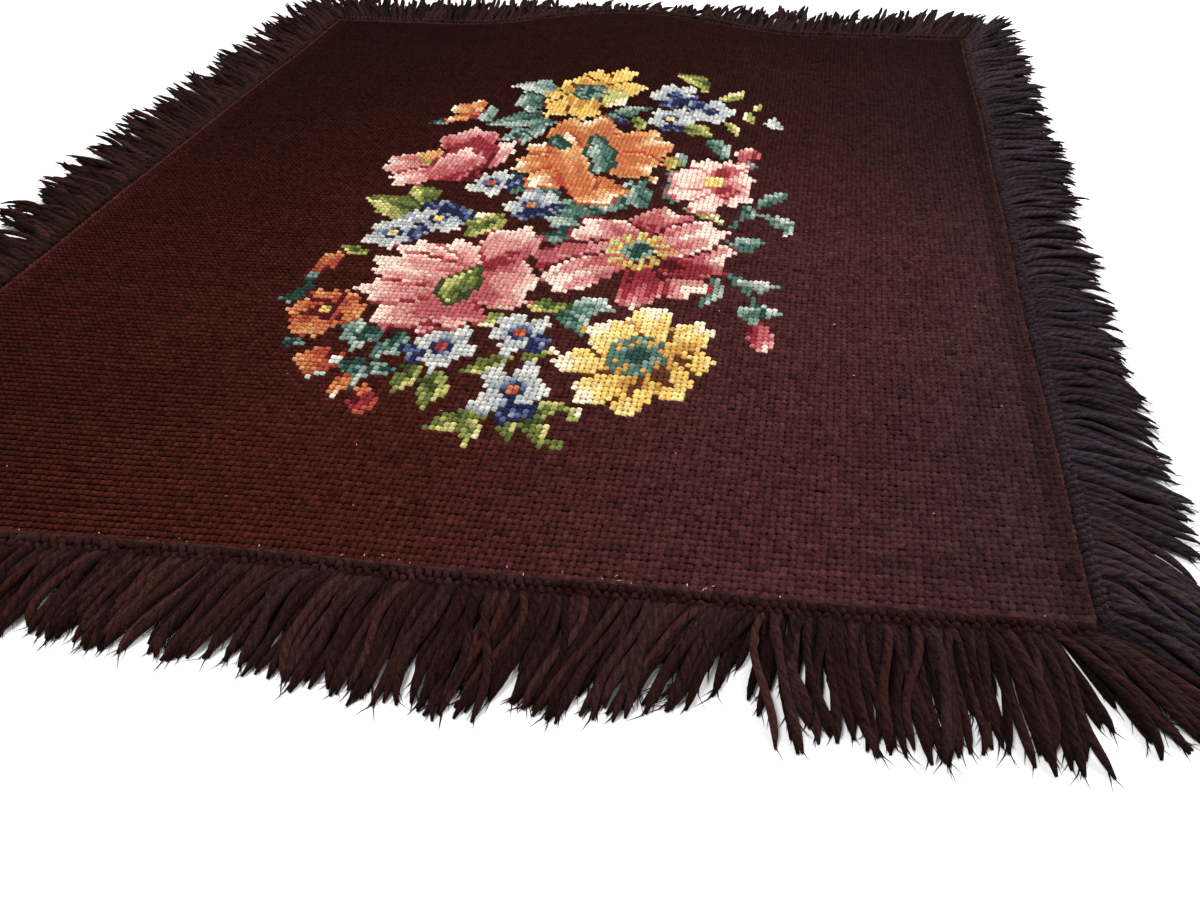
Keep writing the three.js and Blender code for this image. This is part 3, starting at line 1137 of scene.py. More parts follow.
@dataclass(frozen=True)
class GroundPaintedLight:
    """Painted light and shade over the ground, as levels to multiply its wool by.

    Places are shares of the panel, from its left edge or from its front edge. The level falls from the front
    to the back, and the left is darker as far as left_reach: painted shade. A band from the middle to the
    right, a little in front of the middle of the depth, is paler: a painted pool of light. Towards the right
    the ground
    is greyer and bluer, less so at the back: painted sheen. At the right edge each level loses a share, most
    of
    all its red: painted shade. hems is the level of the outermost stitches, hem stitches wide, at the left
    and
    at the right: paler at the left, and darker at the right as painted shade.
    """

    front_to_back_shade: tuple[Place, ...] = ((0.0, 0.88), (0.3, 0.8), (0.5, 0.61), (0.75, 0.36), (1.0, 0.26))
    left_level: float = 0.68
    left_gain: float = 0.32
    left_reach: float = 0.4
    light_pool_gain: float = 0.22
    light_pool_from: float = 0.5
    light_pool_breadth: float = 0.3
    light_pool_middle: float = 0.42
    light_pool_depth: float = 0.18
    grey_from: float = 0.4
    sheen_breadth: float = 0.45
    sheen_loss_at_back: float = 0.9
    painted_sheen: tuple[float, float, float] = (0.14, 0.75, 1.8)
    edge_from: float = 0.8
    edge_breadth: float = 0.2
    edge_shade: tuple[float, float, float] = (0.34, 0.14, 0.14)
    hem: int = 3
    hems: Place = (1.35, 0.72)

    def levels(self, deep: int, across: int) -> Array:
        """Levels to multiply the ground's wool by.

        Args:
            deep: stitches from front to back.
            across: stitches from left to right.

        Returns:
            Red, green and blue levels of each stitch.
        """
        back, right = np.meshgrid(
            (np.arange(deep) + 0.5) / deep, (np.arange(across) + 0.5) / across, indexing="ij"
        )
        # Painted shade: the level falls towards the back and is lower at the left.
        depths, shade_levels = zip(*self.front_to_back_shade)
        level = np.interp(back, depths, shade_levels)
        level = level * (self.left_level + self.left_gain * np.clip(right / self.left_reach, 0, 1))
        # Painted pool of light: paler from the middle to the right.
        patch = np.clip((right - self.light_pool_from) / self.light_pool_breadth, 0, 1)
        depth = np.exp(-(((back - self.light_pool_middle) / self.light_pool_depth) ** 2))
        level = level * (1 + self.light_pool_gain * patch * depth)
        # Painted sheen: greyer and bluer towards the right, less so at the back.
        rise = np.clip((right - self.grey_from) / self.sheen_breadth, 0, 1)
        grey = rise * rise * (3 - 2 * rise) * (1 - self.sheen_loss_at_back * back**2)
        # The outermost stitches: paler at the left, and darker at the right as painted shade.
        column = np.arange(across)
        hem = np.where(column < self.hem, self.hems[0], 1.0)
        hem = np.where(column >= across - self.hem, self.hems[1], hem)
        tint = 1 + grey[..., None] * np.array(self.painted_sheen)
        # Painted shade at the right edge, which takes most of its red.
        edge = np.clip((right - self.edge_from) / self.edge_breadth, 0, 1)
        tint = tint * (1 - edge[..., None] * np.array(self.edge_shade))
        return level[..., None] * hem[None, :, None] * tint


@dataclass
class StitchedFace:
    """The tent stitches of the face: a short slanted arch of wool over every crossing of the canvas.

    half_length, half_width, slant and unsteady change from the left edge to the right: the first two are in
    stitches, slant is in degrees, and unsteady is how uneven the worker's hand is. stations and ribs are
    where a stitch has points along and across it. Its wool is darker at its feet and lighter at its crest:
    painted shade and a painted highlight, milder in the bouquet.
    """

    lie: Lie
    chart: StitchChart
    # The ground's painted light and shade.
    painted_light: GroundPaintedLight = GroundPaintedLight()
    half_length: tuple[Place, ...] = ((0.0, 0.5), (0.3, 0.58), (1.0, 0.74))
    half_width: tuple[Place, ...] = ((0.0, 0.43), (0.25, 0.44), (0.5, 0.53), (1.0, 0.62))
    foot_height: float = 1.7 * MM
    crest_height: float = 3.3 * MM
    slant: tuple[Place, ...] = ((0.0, -8.0), (0.3, -14.0), (0.5, -27.0), (1.0, -34.0))
    stations: tuple[float, ...] = (-1.0, -0.42, 0.42, 1.0)
    ribs: tuple[float, ...] = (-1.0, 0.0, 1.0)
    rib_drop: float = 0.68
    end_narrowing: float = 0.45
    # Levels at a stitch's feet and crest: painted shade and a painted highlight, for the ground and the
    # bouquet.
    painted_crest_shading: tuple[float, float] = (0.64, 1.32)
    flower_painted_crest_shading: tuple[float, float] = (0.78, 1.2)
    unsteady: tuple[Place, ...] = ((0.0, 0.5), (0.4, 0.6), (0.7, 1.0))
    flower_unsteady: float = 0.45
    row_scatter: float = 0.06
    column_scatter: float = 0.07
    turn_scatter: float = 0.2
    length_scatter: float = 0.09
    width_scatter: float = 0.09
    height_scatter: float = 0.15
    run_stitches: tuple[int, int] = (24, 70)
    run_scatter: float = 0.06
    wear: float = 0.15
    wear_reach: int = 9
    uneven: float = 0.15
    flower_uneven: float = 0.05
    darkest_and_lightest: Place = (0.6, 1.5)
    flower_length: float = 0.92
    flower_level: float = 0.75
    flower_dulling: float = 0.14

    def yarn_runs(self, rng: np.random.Generator) -> Array:
        """Make each length of yarn a little lighter or darker than the last.

        Args:
            rng: random draws.

        Returns:
            A level for each stitch.
        """
        deep, across = self.chart.wool.shape
        levels = np.ones((deep, across))
        for row in range(deep):
            start = 0
            while start < across:
                end = start + int(rng.integers(*self.run_stitches))
                levels[row, start:end] = rng.normal(1.0, self.run_scatter)
                start = end
        return levels

    def colours(self, rng: np.random.Generator) -> Array:
        """The colour of each stitch, with the unevenness of dyed wool and its wear, and painted light and
        shade over the ground.

        Args:
            rng: random draws.

        Returns:
            Red, green and blue of each stitch.
        """
        palette = np.array([skein.linear() for skein in SKEINS])
        shape = self.chart.wool.shape
        ground = self.chart.is_ground()
        wear = blurred(rng.normal(0, 1, shape), self.wear_reach)
        uneven = np.where(ground, self.uneven, self.flower_uneven)
        level = self.yarn_runs(rng) * (1 + self.wear * wear / np.abs(wear).max())
        level = level * (1 + uneven * rng.normal(0, 1, shape))
        wool = palette[self.chart.wool]
        grey = wool.mean(axis=-1, keepdims=True)
        dulled = self.flower_level * (wool + self.flower_dulling * (grey - wool))
        # The ground's wool times its painted light and shade; the bouquet's wool dulled.
        ground_shaded_flowers_dulled = np.where(ground[..., None], wool * self.painted_light.levels(*shape), dulled)
        return ground_shaded_flowers_dulled * np.clip(level, *self.darkest_and_lightest)[..., None]

    def from_left(self, curve: Sequence[Place]) -> Array:
        """A measure that changes from left to right, for each column."""
        shares, values = zip(*curve)
        return np.interp(np.linspace(0, 1, self.chart.wool.shape[1]), shares, values)[None, :]

    def arch(self) -> Array:
        """How high each point of a stitch stands, from 0 at its feet to 1, by stations and ribs."""
        drop = 1 - self.rib_drop * np.array(self.ribs)[None, :] ** 2
        return (1 - np.array(self.stations)[:, None] ** 2) * drop

    def arches(self, rng: np.random.Generator) -> tuple[Array, Array]:
        """The points of every stitch, and the lie of its fibres there.

        Args:
            rng: random draws.

        Returns:
            Two arrays of rows by columns by stations by ribs, with three numbers each.
        """
        shape = self.chart.wool.shape
        row, column = np.meshgrid(np.arange(shape[0]) + 0.5, np.arange(shape[1]) + 0.5, indexing="ij")
        ground = self.chart.is_ground()
        hand = np.where(ground, self.from_left(self.unsteady), self.flower_unsteady)
        row = row + hand * rng.normal(0, self.row_scatter, shape)
        column = column + hand * rng.normal(0, self.column_scatter, shape)
        turn = np.radians(self.from_left(self.slant)) + hand * rng.normal(0, self.turn_scatter, shape)
        long = self.from_left(self.half_length) * (1 + hand * rng.normal(0, self.length_scatter, shape))
        long = np.where(ground, long, self.flower_length * long)
        wide = self.from_left(self.half_width) * (1 + hand * rng.normal(0, self.width_scatter, shape))
        tall = 1 + hand * rng.normal(0, self.height_scatter, shape)
        station = np.array(self.stations)[:, None]
        rib = np.array(self.ribs)[None, :]
        along = long[..., None, None] * station * np.ones_like(rib)
        aside = wide[..., None, None] * rib * (1 - self.end_narrowing * station**2)
        cos, sin = np.cos(turn)[..., None, None], np.sin(turn)[..., None, None]
        u, v = self.lie.spread(
            column[..., None, None] + along * cos - aside * sin,
            row[..., None, None] + along * sin + aside * cos,
        )
        loose = rng.uniform(0, 1, shape)[..., None, None]
        pitch = self.lie.pitch
        lengths = np.stack(np.broadcast_arrays(along * pitch, aside * pitch, loose), axis=-1)
        rise = (self.crest_height - self.foot_height) * tall[..., None, None]
        height = self.foot_height + rise * self.arch()
        return self.lie.place(u, v, height), lengths

    def bands(self) -> dict[Band, Array]:
        """Which stitches are in which piece.

        Returns:
            For each band, whether each stitch is in it.
        """
        ground = self.chart.is_ground()
        deep = self.chart.wool.shape[0]
        third = deep / 3
        row = np.arange(deep)[:, None] * np.ones_like(self.chart.wool)
        return {
            Band.FRONT: ground & (row < third),
            Band.MIDDLE: ground & (row >= third) & (row < 2 * third),
            Band.BACK: ground & (row >= 2 * third),
            Band.FLOWERS: ~ground,
        }

    def build(self, finish: bpy.types.Material, rng: np.random.Generator) -> list[bpy.types.Object]:
        """Make the pieces of the face.

        Args:
            finish: the stitched wool.
            rng: random draws.

        Returns:
            The pieces, one for each band.
        """
        colours = self.colours(rng)
        points, lengths = self.arches(rng)
        pieces = []
        for band, where in self.bands().items():
            # Painted shade at each stitch's feet and a painted highlight on its crest, by how high each point
            # stands.
            painted_crest_shading = self.flower_painted_crest_shading if band is Band.FLOWERS else self.painted_crest_shading
            toned_level = np.interp(self.arch(), (0, 1), painted_crest_shading)[..., None]
            pile = MeshPile()
            pile.add(points[where], colours[where][:, None, None, :] * toned_level, lengths[where])
            pieces.append(pile.build(band.value, finish))
        return pieces


@dataclass
class CanvasSheet:
    """The canvas itself: a thin sheet under the stitches, with the backs of the stitches below it."""

    lie: Lie
    chart: StitchChart
    step: int = 2
    bottom: float = 0.15 * MM
    top: float = 1.4 * MM
    # The top's share of the wool's level: painted shade in the gaps between the stitches.
    gap_shade_level: float = 0.42

    def build(self, finish: bpy.types.Material) -> bpy.types.Object:
        """Make the sheet, closed all round.

        Args:
            finish: its wool-covered canvas.

        Returns:
            The sheet, which stands for the panel's solid.
        """
        lie = self.lie
        rows, columns = np.meshgrid(
            np.arange(0, lie.deep + 1, self.step), np.arange(0, lie.across + 1, self.step), indexing="ij"
        )
        u, v = lie.spread(columns.astype(float), rows.astype(float))
        wool = np.array([skein.linear() for skein in SKEINS])[self.chart.wool]
        near = wool[np.clip(rows, 0, lie.deep - 1), np.clip(columns, 0, lie.across - 1)]
        upper = lie.place(u, v, np.full(u.shape, self.top))
        under = lie.place(u, v, np.full(u.shape, self.bottom))[::-1]
        pile = MeshPile()
        # The top is the nearby wool darkened, painted shade seen in the gaps between the stitches.
        pile.add(upper[None], (near * self.gap_shade_level)[None])
        pile.add(under[None], near[::-1][None])
        piece = pile.build("canvas_sheet", finish)
        self.close_rim(piece.data, u.shape)
        return piece

    def close_rim(self, mesh: bpy.types.Mesh, shape: tuple[int, int]) -> None:
        """Join the two sides of the sheet along its rim.

        Args:
            mesh: the sheet's mesh, with the upper side's points first.
            shape: rows and columns of points on each side.
        """
        rows, columns = shape
        top = np.arange(rows * columns).reshape(shape)
        bottom = (np.arange(rows * columns) + rows * columns).reshape(shape)[::-1]
        ring = [(0, c) for c in range(columns)] + [(r, columns - 1) for r in range(1, rows)]
        ring += [(rows - 1, c) for c in range(columns - 2, -1, -1)] + [(r, 0) for r in range(rows - 2, 0, -1)]
        upper = np.array([top[spot] for spot in ring])
        lower = np.array([bottom[spot] for spot in ring])
        quads = np.stack([lower, np.roll(lower, -1), np.roll(upper, -1), upper], axis=-1)
        before_loops, before_faces = len(mesh.loops), len(mesh.polygons)
        mesh.loops.add(quads.size)
        mesh.polygons.add(len(quads))
        loops = np.zeros(len(mesh.loops), np.int32)
        mesh.loops.foreach_get("vertex_index", loops)
        loops[before_loops:] = quads.ravel()
        mesh.loops.foreach_set("vertex_index", loops)
        starts = np.arange(before_faces + len(quads), dtype=np.int32) * 4
        mesh.polygons.foreach_set("loop_start", starts)
        mesh.update(calc_edges=True)
        mesh.validate()


@dataclass(frozen=True)
class Lay:
    """How the fringe lies at a place: share of the side, lean in degrees, and reach in millimetres."""

    at: float
    lean: float
    reach: float


FRONT_LAY = (
    Lay(0.0, -36, 41), Lay(0.06, -16, 43), Lay(0.18, -6, 44), Lay(0.275, -8, 45), Lay(0.295, -6, 37),
    Lay(0.45, -16, 39), Lay(0.54, -5, 47), Lay(0.66, -12, 45), Lay(0.7828, -30, 41), Lay(0.7832, 11, 45),
    Lay(0.88, 5, 46), Lay(0.9698, 9, 44), Lay(0.9702, 38, 42), Lay(1.0, 48, 40),
)
RIGHT_LAY = (
    Lay(0.0, -38, 41), Lay(0.07, -30, 43), Lay(0.16, -20, 42), Lay(0.3, -9, 40), Lay(0.42, -6, 41),
    Lay(0.5, -8, 36), Lay(0.52, 6, 42), Lay(0.64, -4, 43), Lay(0.76, -8, 38), Lay(0.78, 6, 42),
    Lay(0.93, 10, 41), Lay(1.0, 36, 40),
)
BACK_LAY = (
    Lay(0.0, -36, 41), Lay(0.08, -18, 43), Lay(0.22, -10, 39), Lay(0.3, -4, 44), Lay(0.5, -6, 42),
    Lay(0.52, 6, 41), Lay(0.7, 2, 44), Lay(0.86, 12, 41), Lay(1.0, 36, 41),
)
LEFT_LAY = (
    Lay(0.0, -38, 43), Lay(0.1, -30, 45), Lay(0.3, -26, 44), Lay(0.42, -20, 47), Lay(0.6, -18, 43),
    Lay(0.8, -8, 45), Lay(0.93, 12, 43), Lay(1.0, 36, 41),
)


class Side(Enum):
    """The sides of the panel, going round from the front left corner."""

    FRONT = "front"
    RIGHT = "right"
    BACK = "back"
    LEFT = "left"


LAYS = {Side.FRONT: FRONT_LAY, Side.RIGHT: RIGHT_LAY, Side.BACK: BACK_LAY, Side.LEFT: LEFT_LAY}


@dataclass(frozen=True)
class Hang:
    """How the yarns of a side hang together.

    wool is their colour at the start and at the end of the side, bluer and greyer on the right side as
    painted sheen; gathers is how far the yarns of each layer draw together into locks; taper is the share of
    a yarn that thins towards its end, and blunt what is left there; tip_rise is how far the ends stand up
    from the floor at the start and at the end of the side.
    """

    wool: tuple[tuple[int, int, int], tuple[int, int, int]]
    gathers: tuple[float, float, float]
    taper: float
    blunt: float
    tip_rise: tuple[float, float]


HANGS = {
    Side.FRONT: Hang(((45, 23, 20), (35, 20, 19)), (0.1, 0.3, 0.6), 0.14, 0.3, (0.0, 0.0)),
    # The right side's bluer, greyer wool is painted sheen.
    Side.RIGHT: Hang(((39, 30, 34), (46, 36, 40)), (0.8, 0.95, 1.05), 0.26, 0.16, (0.0, 8.0 * MM)),
    Side.BACK: Hang(((36, 23, 22), (36, 21, 19)), (0.2, 0.4, 0.7), 0.2, 0.16, (7.0 * MM, 7.0 * MM)),
    Side.LEFT: Hang(((38, 21, 18), (38, 21, 18)), (0.8, 0.95, 1.05), 0.3, 0.12, (9.0 * MM, 7.0 * MM)),
}
OUTWARD = {Side.FRONT: (0, -1), Side.RIGHT: (1, 0), Side.BACK: (0, 1), Side.LEFT: (-1, 0)}


@dataclass(frozen=True)
class Layer:
    """A layer of the fringe.

    root_out is how far from the stitching its yarns start, filling how many there are for each knot, lengths
    their shortest and longest share of the reach, stray how unruly they are, and level how light they are:
    the lower layers are darker, painted shade under the yarns above.
    """

    root_out: float
    filling: float
    lengths: Place
    stray: float
    level: float


# The lower layers' darker levels are painted shade under the yarns above.
LAYERS = (
    Layer(0.5 * MM, 1.7, (0.5, 0.9), 0.5, 0.5),
    Layer(3.0 * MM, 1.0, (0.9, 1.02), 0.8, 0.75),
    Layer(3.8 * MM, 1.0, (0.88, 1.02), 1.2, 1.0),
)


@dataclass(frozen=True)
class Yarn:
    """A thick plied yarn.

    flatness is its height as a share of its width, and turns is how often its plies go round. As far as
    neck_reach from its root it is thinner, down to the share neck.
    """

    radius: float = 1.42 * MM
    radius_scatter: float = 0.08
    flatness: float = 0.9
    sides: int = 6
    rings: int = 12
    turns: float = 3.4
    usual_length: float = 40 * MM
    neck: float = 0.85
    neck_reach: float = 0.1
    taper_curve: float = 0.6

    def steps(self) -> Array:
        """Shares of a yarn's length at its rings."""
        return np.linspace(0, 1, self.rings)[None, :]

    def radii(self, count: int, hang: Hang, rng: np.random.Generator) -> Array:
        """How thick the yarns are, with thinner roots and ends.

        Args:
            count: how many yarns.
            hang: how the yarns of the side hang together.
            rng: random draws.

        Returns:
            Radii by yarn and ring.
        """
        step = self.steps()
        taper = np.clip((1 - step) / hang.taper, 0, 1) ** self.taper_curve
        neck = self.neck + (1 - self.neck) * np.clip(step / self.neck_reach, 0, 1)
        own = self.radius * rng.normal(1, self.radius_scatter, count)[:, None]
        return own * (hang.blunt + (1 - hang.blunt) * taper) * neck

    def surface(self, points: Array, radius: Array, rng: np.random.Generator) -> tuple[Array, Array]:
        """The surfaces of yarns round their middle lines.

        Args:
            points: the middle lines.
            radius: their radius at each ring.
            rng: random draws.

        Returns:
            Points by yarn, ring and side, and the lie of the fibres there.
        """
        ahead = np.gradient(points, axis=1)
        ahead /= np.linalg.norm(ahead, axis=-1, keepdims=True)
        level = np.cross(ahead, np.array([0.0, 0.0, 1.0]))
        level /= np.linalg.norm(level, axis=-1, keepdims=True)
        up = np.cross(level, ahead)
        around = np.linspace(-0.5 * math.pi, 1.5 * math.pi, self.sides, endpoint=False)[None, None, :]
        step = self.steps()[..., None]
        sideways = radius[..., None] * np.cos(around)
        upward = radius[..., None] * np.sin(around) * self.flatness
        surface = points[:, :, None, :] + sideways[..., None] * level[:, :, None, :]
        surface = surface + upward[..., None] * up[:, :, None, :]
        twisted = around - 2 * math.pi * self.turns * step
        loose = rng.uniform(0, 1, len(points))[:, None, None]
        lengths = np.broadcast_arrays(step * self.usual_length, twisted, loose)
        return surface, np.stack(lengths, axis=-1)


@dataclass(frozen=True)
class Wisp:
    """A fine end of fibre past the tip of a yarn: a slim three-sided spike."""

    each: int = 3
    reach: float = 7.5 * MM
    lengths: Place = (0.6, 1.25)
    width: float = 0.4 * MM
    narrowing: float = 0.94
    ridge: float = 0.7
    lean: float = 0.16
    swing: float = 0.3
    droop: float = 1.5 * MM
    lowest: float = 0.3 * MM
    last_rings: tuple[int, int] = (-4, -1)

    def spikes(self, points: Array, rng: np.random.Generator) -> Array:
        """One wisp for each yarn, from one of its last rings.

        Args:
            points: the middle lines of the yarns.
            rng: random draws.

        Returns:
            Points by yarn, ring and side, and x, y, z.
        """
        count = len(points)
        start = points[np.arange(count), rng.integers(*self.last_rings, count)]
        ahead = points[:, -1] - points[:, self.last_rings[0]]
        ahead /= np.linalg.norm(ahead, axis=-1, keepdims=True)
        level = np.stack([ahead[:, 1], -ahead[:, 0], 0 * ahead[:, 0]], axis=-1)
        step = np.linspace(0, 1, 3)[None, :, None]
        reach = self.reach * rng.uniform(*self.lengths, count)[:, None, None]
        lean = rng.normal(0, self.lean, count)[:, None, None]
        swing = rng.normal(0, self.swing, count)[:, None, None]
        line = start[:, None] + reach * step * (ahead[:, None] + (lean + swing * step) * level[:, None])
        line[..., 2] = np.maximum(line[..., 2] - self.droop * step[..., 0], self.lowest)
        width = self.width * (1 - self.narrowing * step)
        ridge = np.array([0.0, 0.0, self.ridge])
        corners = [level[:, None] * width, -level[:, None] * width, ridge * width]
        return np.stack([line + corner for corner in corners], axis=2)


@dataclass(frozen=True)
class Knot:
    """A knot of the fringe: a fat loop of yarn that arches along the side, over the roots.

    droop is how far its ends lie below its middle, and skew how far they lie out of line with the side, which
    is more where the fringe leans. fullness and pinch set how round the loop's ends are.
    """

    sides: int = 6
    rings: int = 5
    girth: float = 1.45 * MM
    girth_scatter: float = 0.12
    half_length: float = 1.68 * MM
    height: float = 3.1 * MM
    droop: float = 1.5 * MM
    slant: float = 1.5 * MM
    skew: float = 0.5
    skew_scatter: float = 0.35
    skew_with_lean: float = 0.5
    fullness: float = 1.04
    pinch: float = 0.03
    scatter: float = 0.25 * MM

    def loops(self, lean: Array, size: float, rng: np.random.Generator) -> tuple[Array, Array, Array]:
        """The surfaces of a row of knots.

        Args:
            lean: lean of the fringe at each knot, in radians.
            size: size of the row's knots, 1 for the usual one.
            rng: random draws.

        Returns:
            Metres out from the row, along the side and up from the floor, by knot, ring and side.
        """
        count = len(lean)
        around = np.linspace(0, 2 * math.pi, self.sides, endpoint=False)[None, None, :]
        arch = np.linspace(-1, 1, self.rings)[None, :, None]
        fat = size * rng.normal(1, self.girth_scatter, count)[:, None, None]
        skew = self.skew + self.skew_scatter * rng.normal(0, 1, count) + self.skew_with_lean * lean
        girth = self.girth * fat * np.sqrt(np.clip(self.fullness - arch**4, self.pinch, 1))
        outward = girth * np.cos(around) + skew[:, None, None] * arch * self.slant
        outward = outward + rng.normal(0, self.scatter, count)[:, None, None]
        rise = self.height * size - self.droop * arch**2 + girth * np.sin(around)
        rise = rise + rng.normal(0, self.scatter, count)[:, None, None]
        return outward, arch * self.half_length, rise


@dataclass
class FringeSide:
    """The fringe of one side: rows of knots, and thick plied yarns that lie on the floor in layers.

    knot_rows gives each row's distance from the stitching and its size. Within the share corner of either end
    of the side, the yarns aren't drawn together into locks, and corner_leans, in degrees, are those of the
    yarns that fan round its last corner. Places whose lays are less than parting apart part the fringe there;
    the lowest layer blends across them. wave is shared by wave_yarns neighbours, and bow and swing aren't.
    """

    lie: Lie
    side: Side
    yarn: Yarn = Yarn()
    wisp: Wisp = Wisp()
    knot: Knot = Knot()
    spacing: float = 3.0 * MM
    knot_rows: tuple[Place, ...] = ((2.2 * MM, 1.0), (4.4 * MM, 0.88))
    last_knot: float = 0.998
    knot_own_shade: float = 0.4
    knot_mean_shade: float = 0.7
    lock_width: float = 19 * MM
    lock_widths: Place = (0.6, 1.4)
    lock_unevenness: float = 0.05
    lock_beat: float = 2.4
    parting: float = 0.03
    blend_reach: float = 1.6
    blend_steps: int = 7
    corner: float = 0.06
    corner_leans: tuple[float, ...] = (36, 41, 46, 50, 54, 58, 62)
    corner_share: float = 0.997
    first_and_last: Place = (0.004, 0.996)
    share_scatter: float = 0.2
    widest_lean: float = math.radians(32)
    lean_scatter: float = 5.0
    gather_range: Place = (0.2, 1.0)
    gather_curve: float = 1.6
    wave_yarns: int = 9
    wave: float = 1.9 * MM
    bow: float = 0.9 * MM
    swing: float = 0.8 * MM
    clearance: float = 0.1 * MM
    layer_rise: float = 1.6 * MM
    climb_reach: float = 0.22
    climb_range: Place = (0.6, 1.1)
    fall_curve: float = 2.5
    fall_reach: float = 0.9
    tip_range: Place = (0.1, 1.3)
    tip_curve: float = 1.8
    shade_scatter: float = 0.3
    shade_range: Place = (0.45, 1.8)
    red_scatter: float = 0.06

    @property
    def hang(self) -> Hang:
        """How the yarns of the side hang together."""
        return HANGS[self.side]

    @property
    def length(self) -> float:
        """Length of the side."""
        return self.lie.width if self.side in (Side.FRONT, Side.BACK) else self.lie.depth

    def shares(self, count: int) -> Array:
        """Even shares of the side, half a step in from its ends."""
        return (np.arange(count) + 0.5) / count

    def edge(self, share: Array) -> tuple[Array, Array]:
        """Places along the side, on the work.

        Args:
            share: shares of its length, going round.

        Returns:
            Metres to the right and to the back of the middle.
        """
        across, deep = float(self.lie.across), float(self.lie.deep)
        column, row = {
            Side.FRONT: (share * across, 0 * share),
            Side.RIGHT: (across + 0 * share, share * deep),
            Side.BACK: ((1 - share) * across, deep + 0 * share),
            Side.LEFT: (0 * share, (1 - share) * deep),
        }[self.side]
        return self.lie.spread(column, row)

    def off_edge(self, share: Array, outward: Array, sideways: Array) -> tuple[Array, Array, Array]:
        """Places off the side, and how high the panel's edge lies there.

        Args:
            share: shares of the side's length.
            outward: metres out from the panel, by share first.
            sideways: metres along the side, by share first.

        Returns:
            Metres to the right and to the back of the middle, and the height of the edge.
        """
        u0, v0 = (place.reshape(-1, *[1] * (outward.ndim - 1)) for place in self.edge(share))
        out_u, out_v = OUTWARD[self.side]
        u = u0 + out_u * outward - out_v * sideways
        v = v0 + out_v * outward + out_u * sideways
        return u, v, self.lie.lift(u0, v0)

    def lay_at(self, share: Array) -> tuple[Array, Array]:
        """How the fringe lies at places along the side.

        Args:
            share: shares of the side's length.

        Returns:
            Lean, in radians, and reach, in metres.
        """
        rows = LAYS[self.side]
        at = [row.at for row in rows]
        lean = np.interp(share, at, [row.lean for row in rows])
        reach = np.interp(share, at, [row.reach for row in rows])
        return np.radians(lean), reach * MM

    def yarn_colour(self, share: Array, rng: np.random.Generator) -> Array:
        """A colour for each yarn, more or less dark and more or less red.

        Args:
            share: where along the side each yarn starts.
            rng: random draws.

        Returns:
            Red, green and blue of each yarn.
        """
        level = np.clip(rng.normal(1.0, self.shade_scatter, len(share)), *self.shade_range)
        red = rng.normal(1.0, self.red_scatter, len(share))
        start, end = (linear_levels(wool) for wool in self.hang.wool)
        wool = start + (end - start) * share[:, None]
        return wool * np.stack([level * red, level, level * (2 - red)], axis=-1)

    def locks(self, rng: np.random.Generator) -> Array:
        """Where the fringe parts into locks.

        Args:
            rng: random draws.

        Returns:
            Shares of the side, from 0 to 1.
        """
        widths = rng.uniform(*self.lock_widths, round(self.length / self.lock_width))
        rows = LAYS[self.side]
        partings = [
            (one.at + two.at) / 2 for one, two in zip(rows, rows[1:]) if two.at - one.at < self.parting
        ]
        return np.sort(np.concatenate([[0.0], np.cumsum(widths) / widths.sum(), partings]))

    def leans(self, share: Array, below: int, rng: np.random.Generator) -> Array:
        """How far each yarn of a layer leans.

        Args:
            share: where along the side each yarn starts.
            below: how many layers lie below.
            rng: random draws.

        Returns:
            Leans in radians.
        """
        lean, _ = self.lay_at(share)
        if below == 0:
            near = np.linspace(-self.blend_reach, self.blend_reach, self.blend_steps) * self.parting
            lean = np.mean([self.lay_at(share + off)[0] for off in near], axis=0)
        lean[-len(self.corner_leans):] = np.radians(self.corner_leans)
        return lean + np.radians(rng.normal(0, self.lean_scatter * LAYERS[below].stray, len(share)))

    def sway(self, count: int, stray: float, rng: np.random.Generator) -> Array:
        """How far the yarns wander sideways between root and end.

        Args:
            count: how many yarns.
            stray: how unruly they are.
            rng: random draws.

        Returns:
            Metres by yarn and ring.
        """
        step = self.yarn.steps()
        crests = np.arange(0, count + self.wave_yarns, self.wave_yarns)
        slow = np.interp(np.arange(count), crests, rng.normal(0, self.wave, len(crests)))
        bow = stray * (slow + rng.normal(0, self.bow, count))[:, None] * np.sin(math.pi * step)
        swing = stray * rng.normal(0, self.swing, count)[:, None] * np.sin(2 * math.pi * step)
        return bow + swing

    def rises(self, share: Array, below: int, rng: np.random.Generator) -> Array:
        """How far the yarns of a layer ride over those below, and their ends stand up.

        Args:
            share: where along the side each yarn starts.
            below: how many layers lie below.
            rng: random draws.

        Returns:
            Metres by yarn and ring.
        """
        step = self.yarn.steps()
        fall = np.clip((1 - step**self.fall_curve) / self.fall_reach, 0, 1)
        climb = np.clip(step / self.climb_reach, 0, 1) * fall
        ride = below * self.layer_rise * climb * rng.uniform(*self.climb_range, len(share))[:, None]
        tips = np.interp(share, [0, 1], self.hang.tip_rise) * rng.uniform(*self.tip_range, len(share))
        return ride + tips[:, None] * step**self.tip_curve

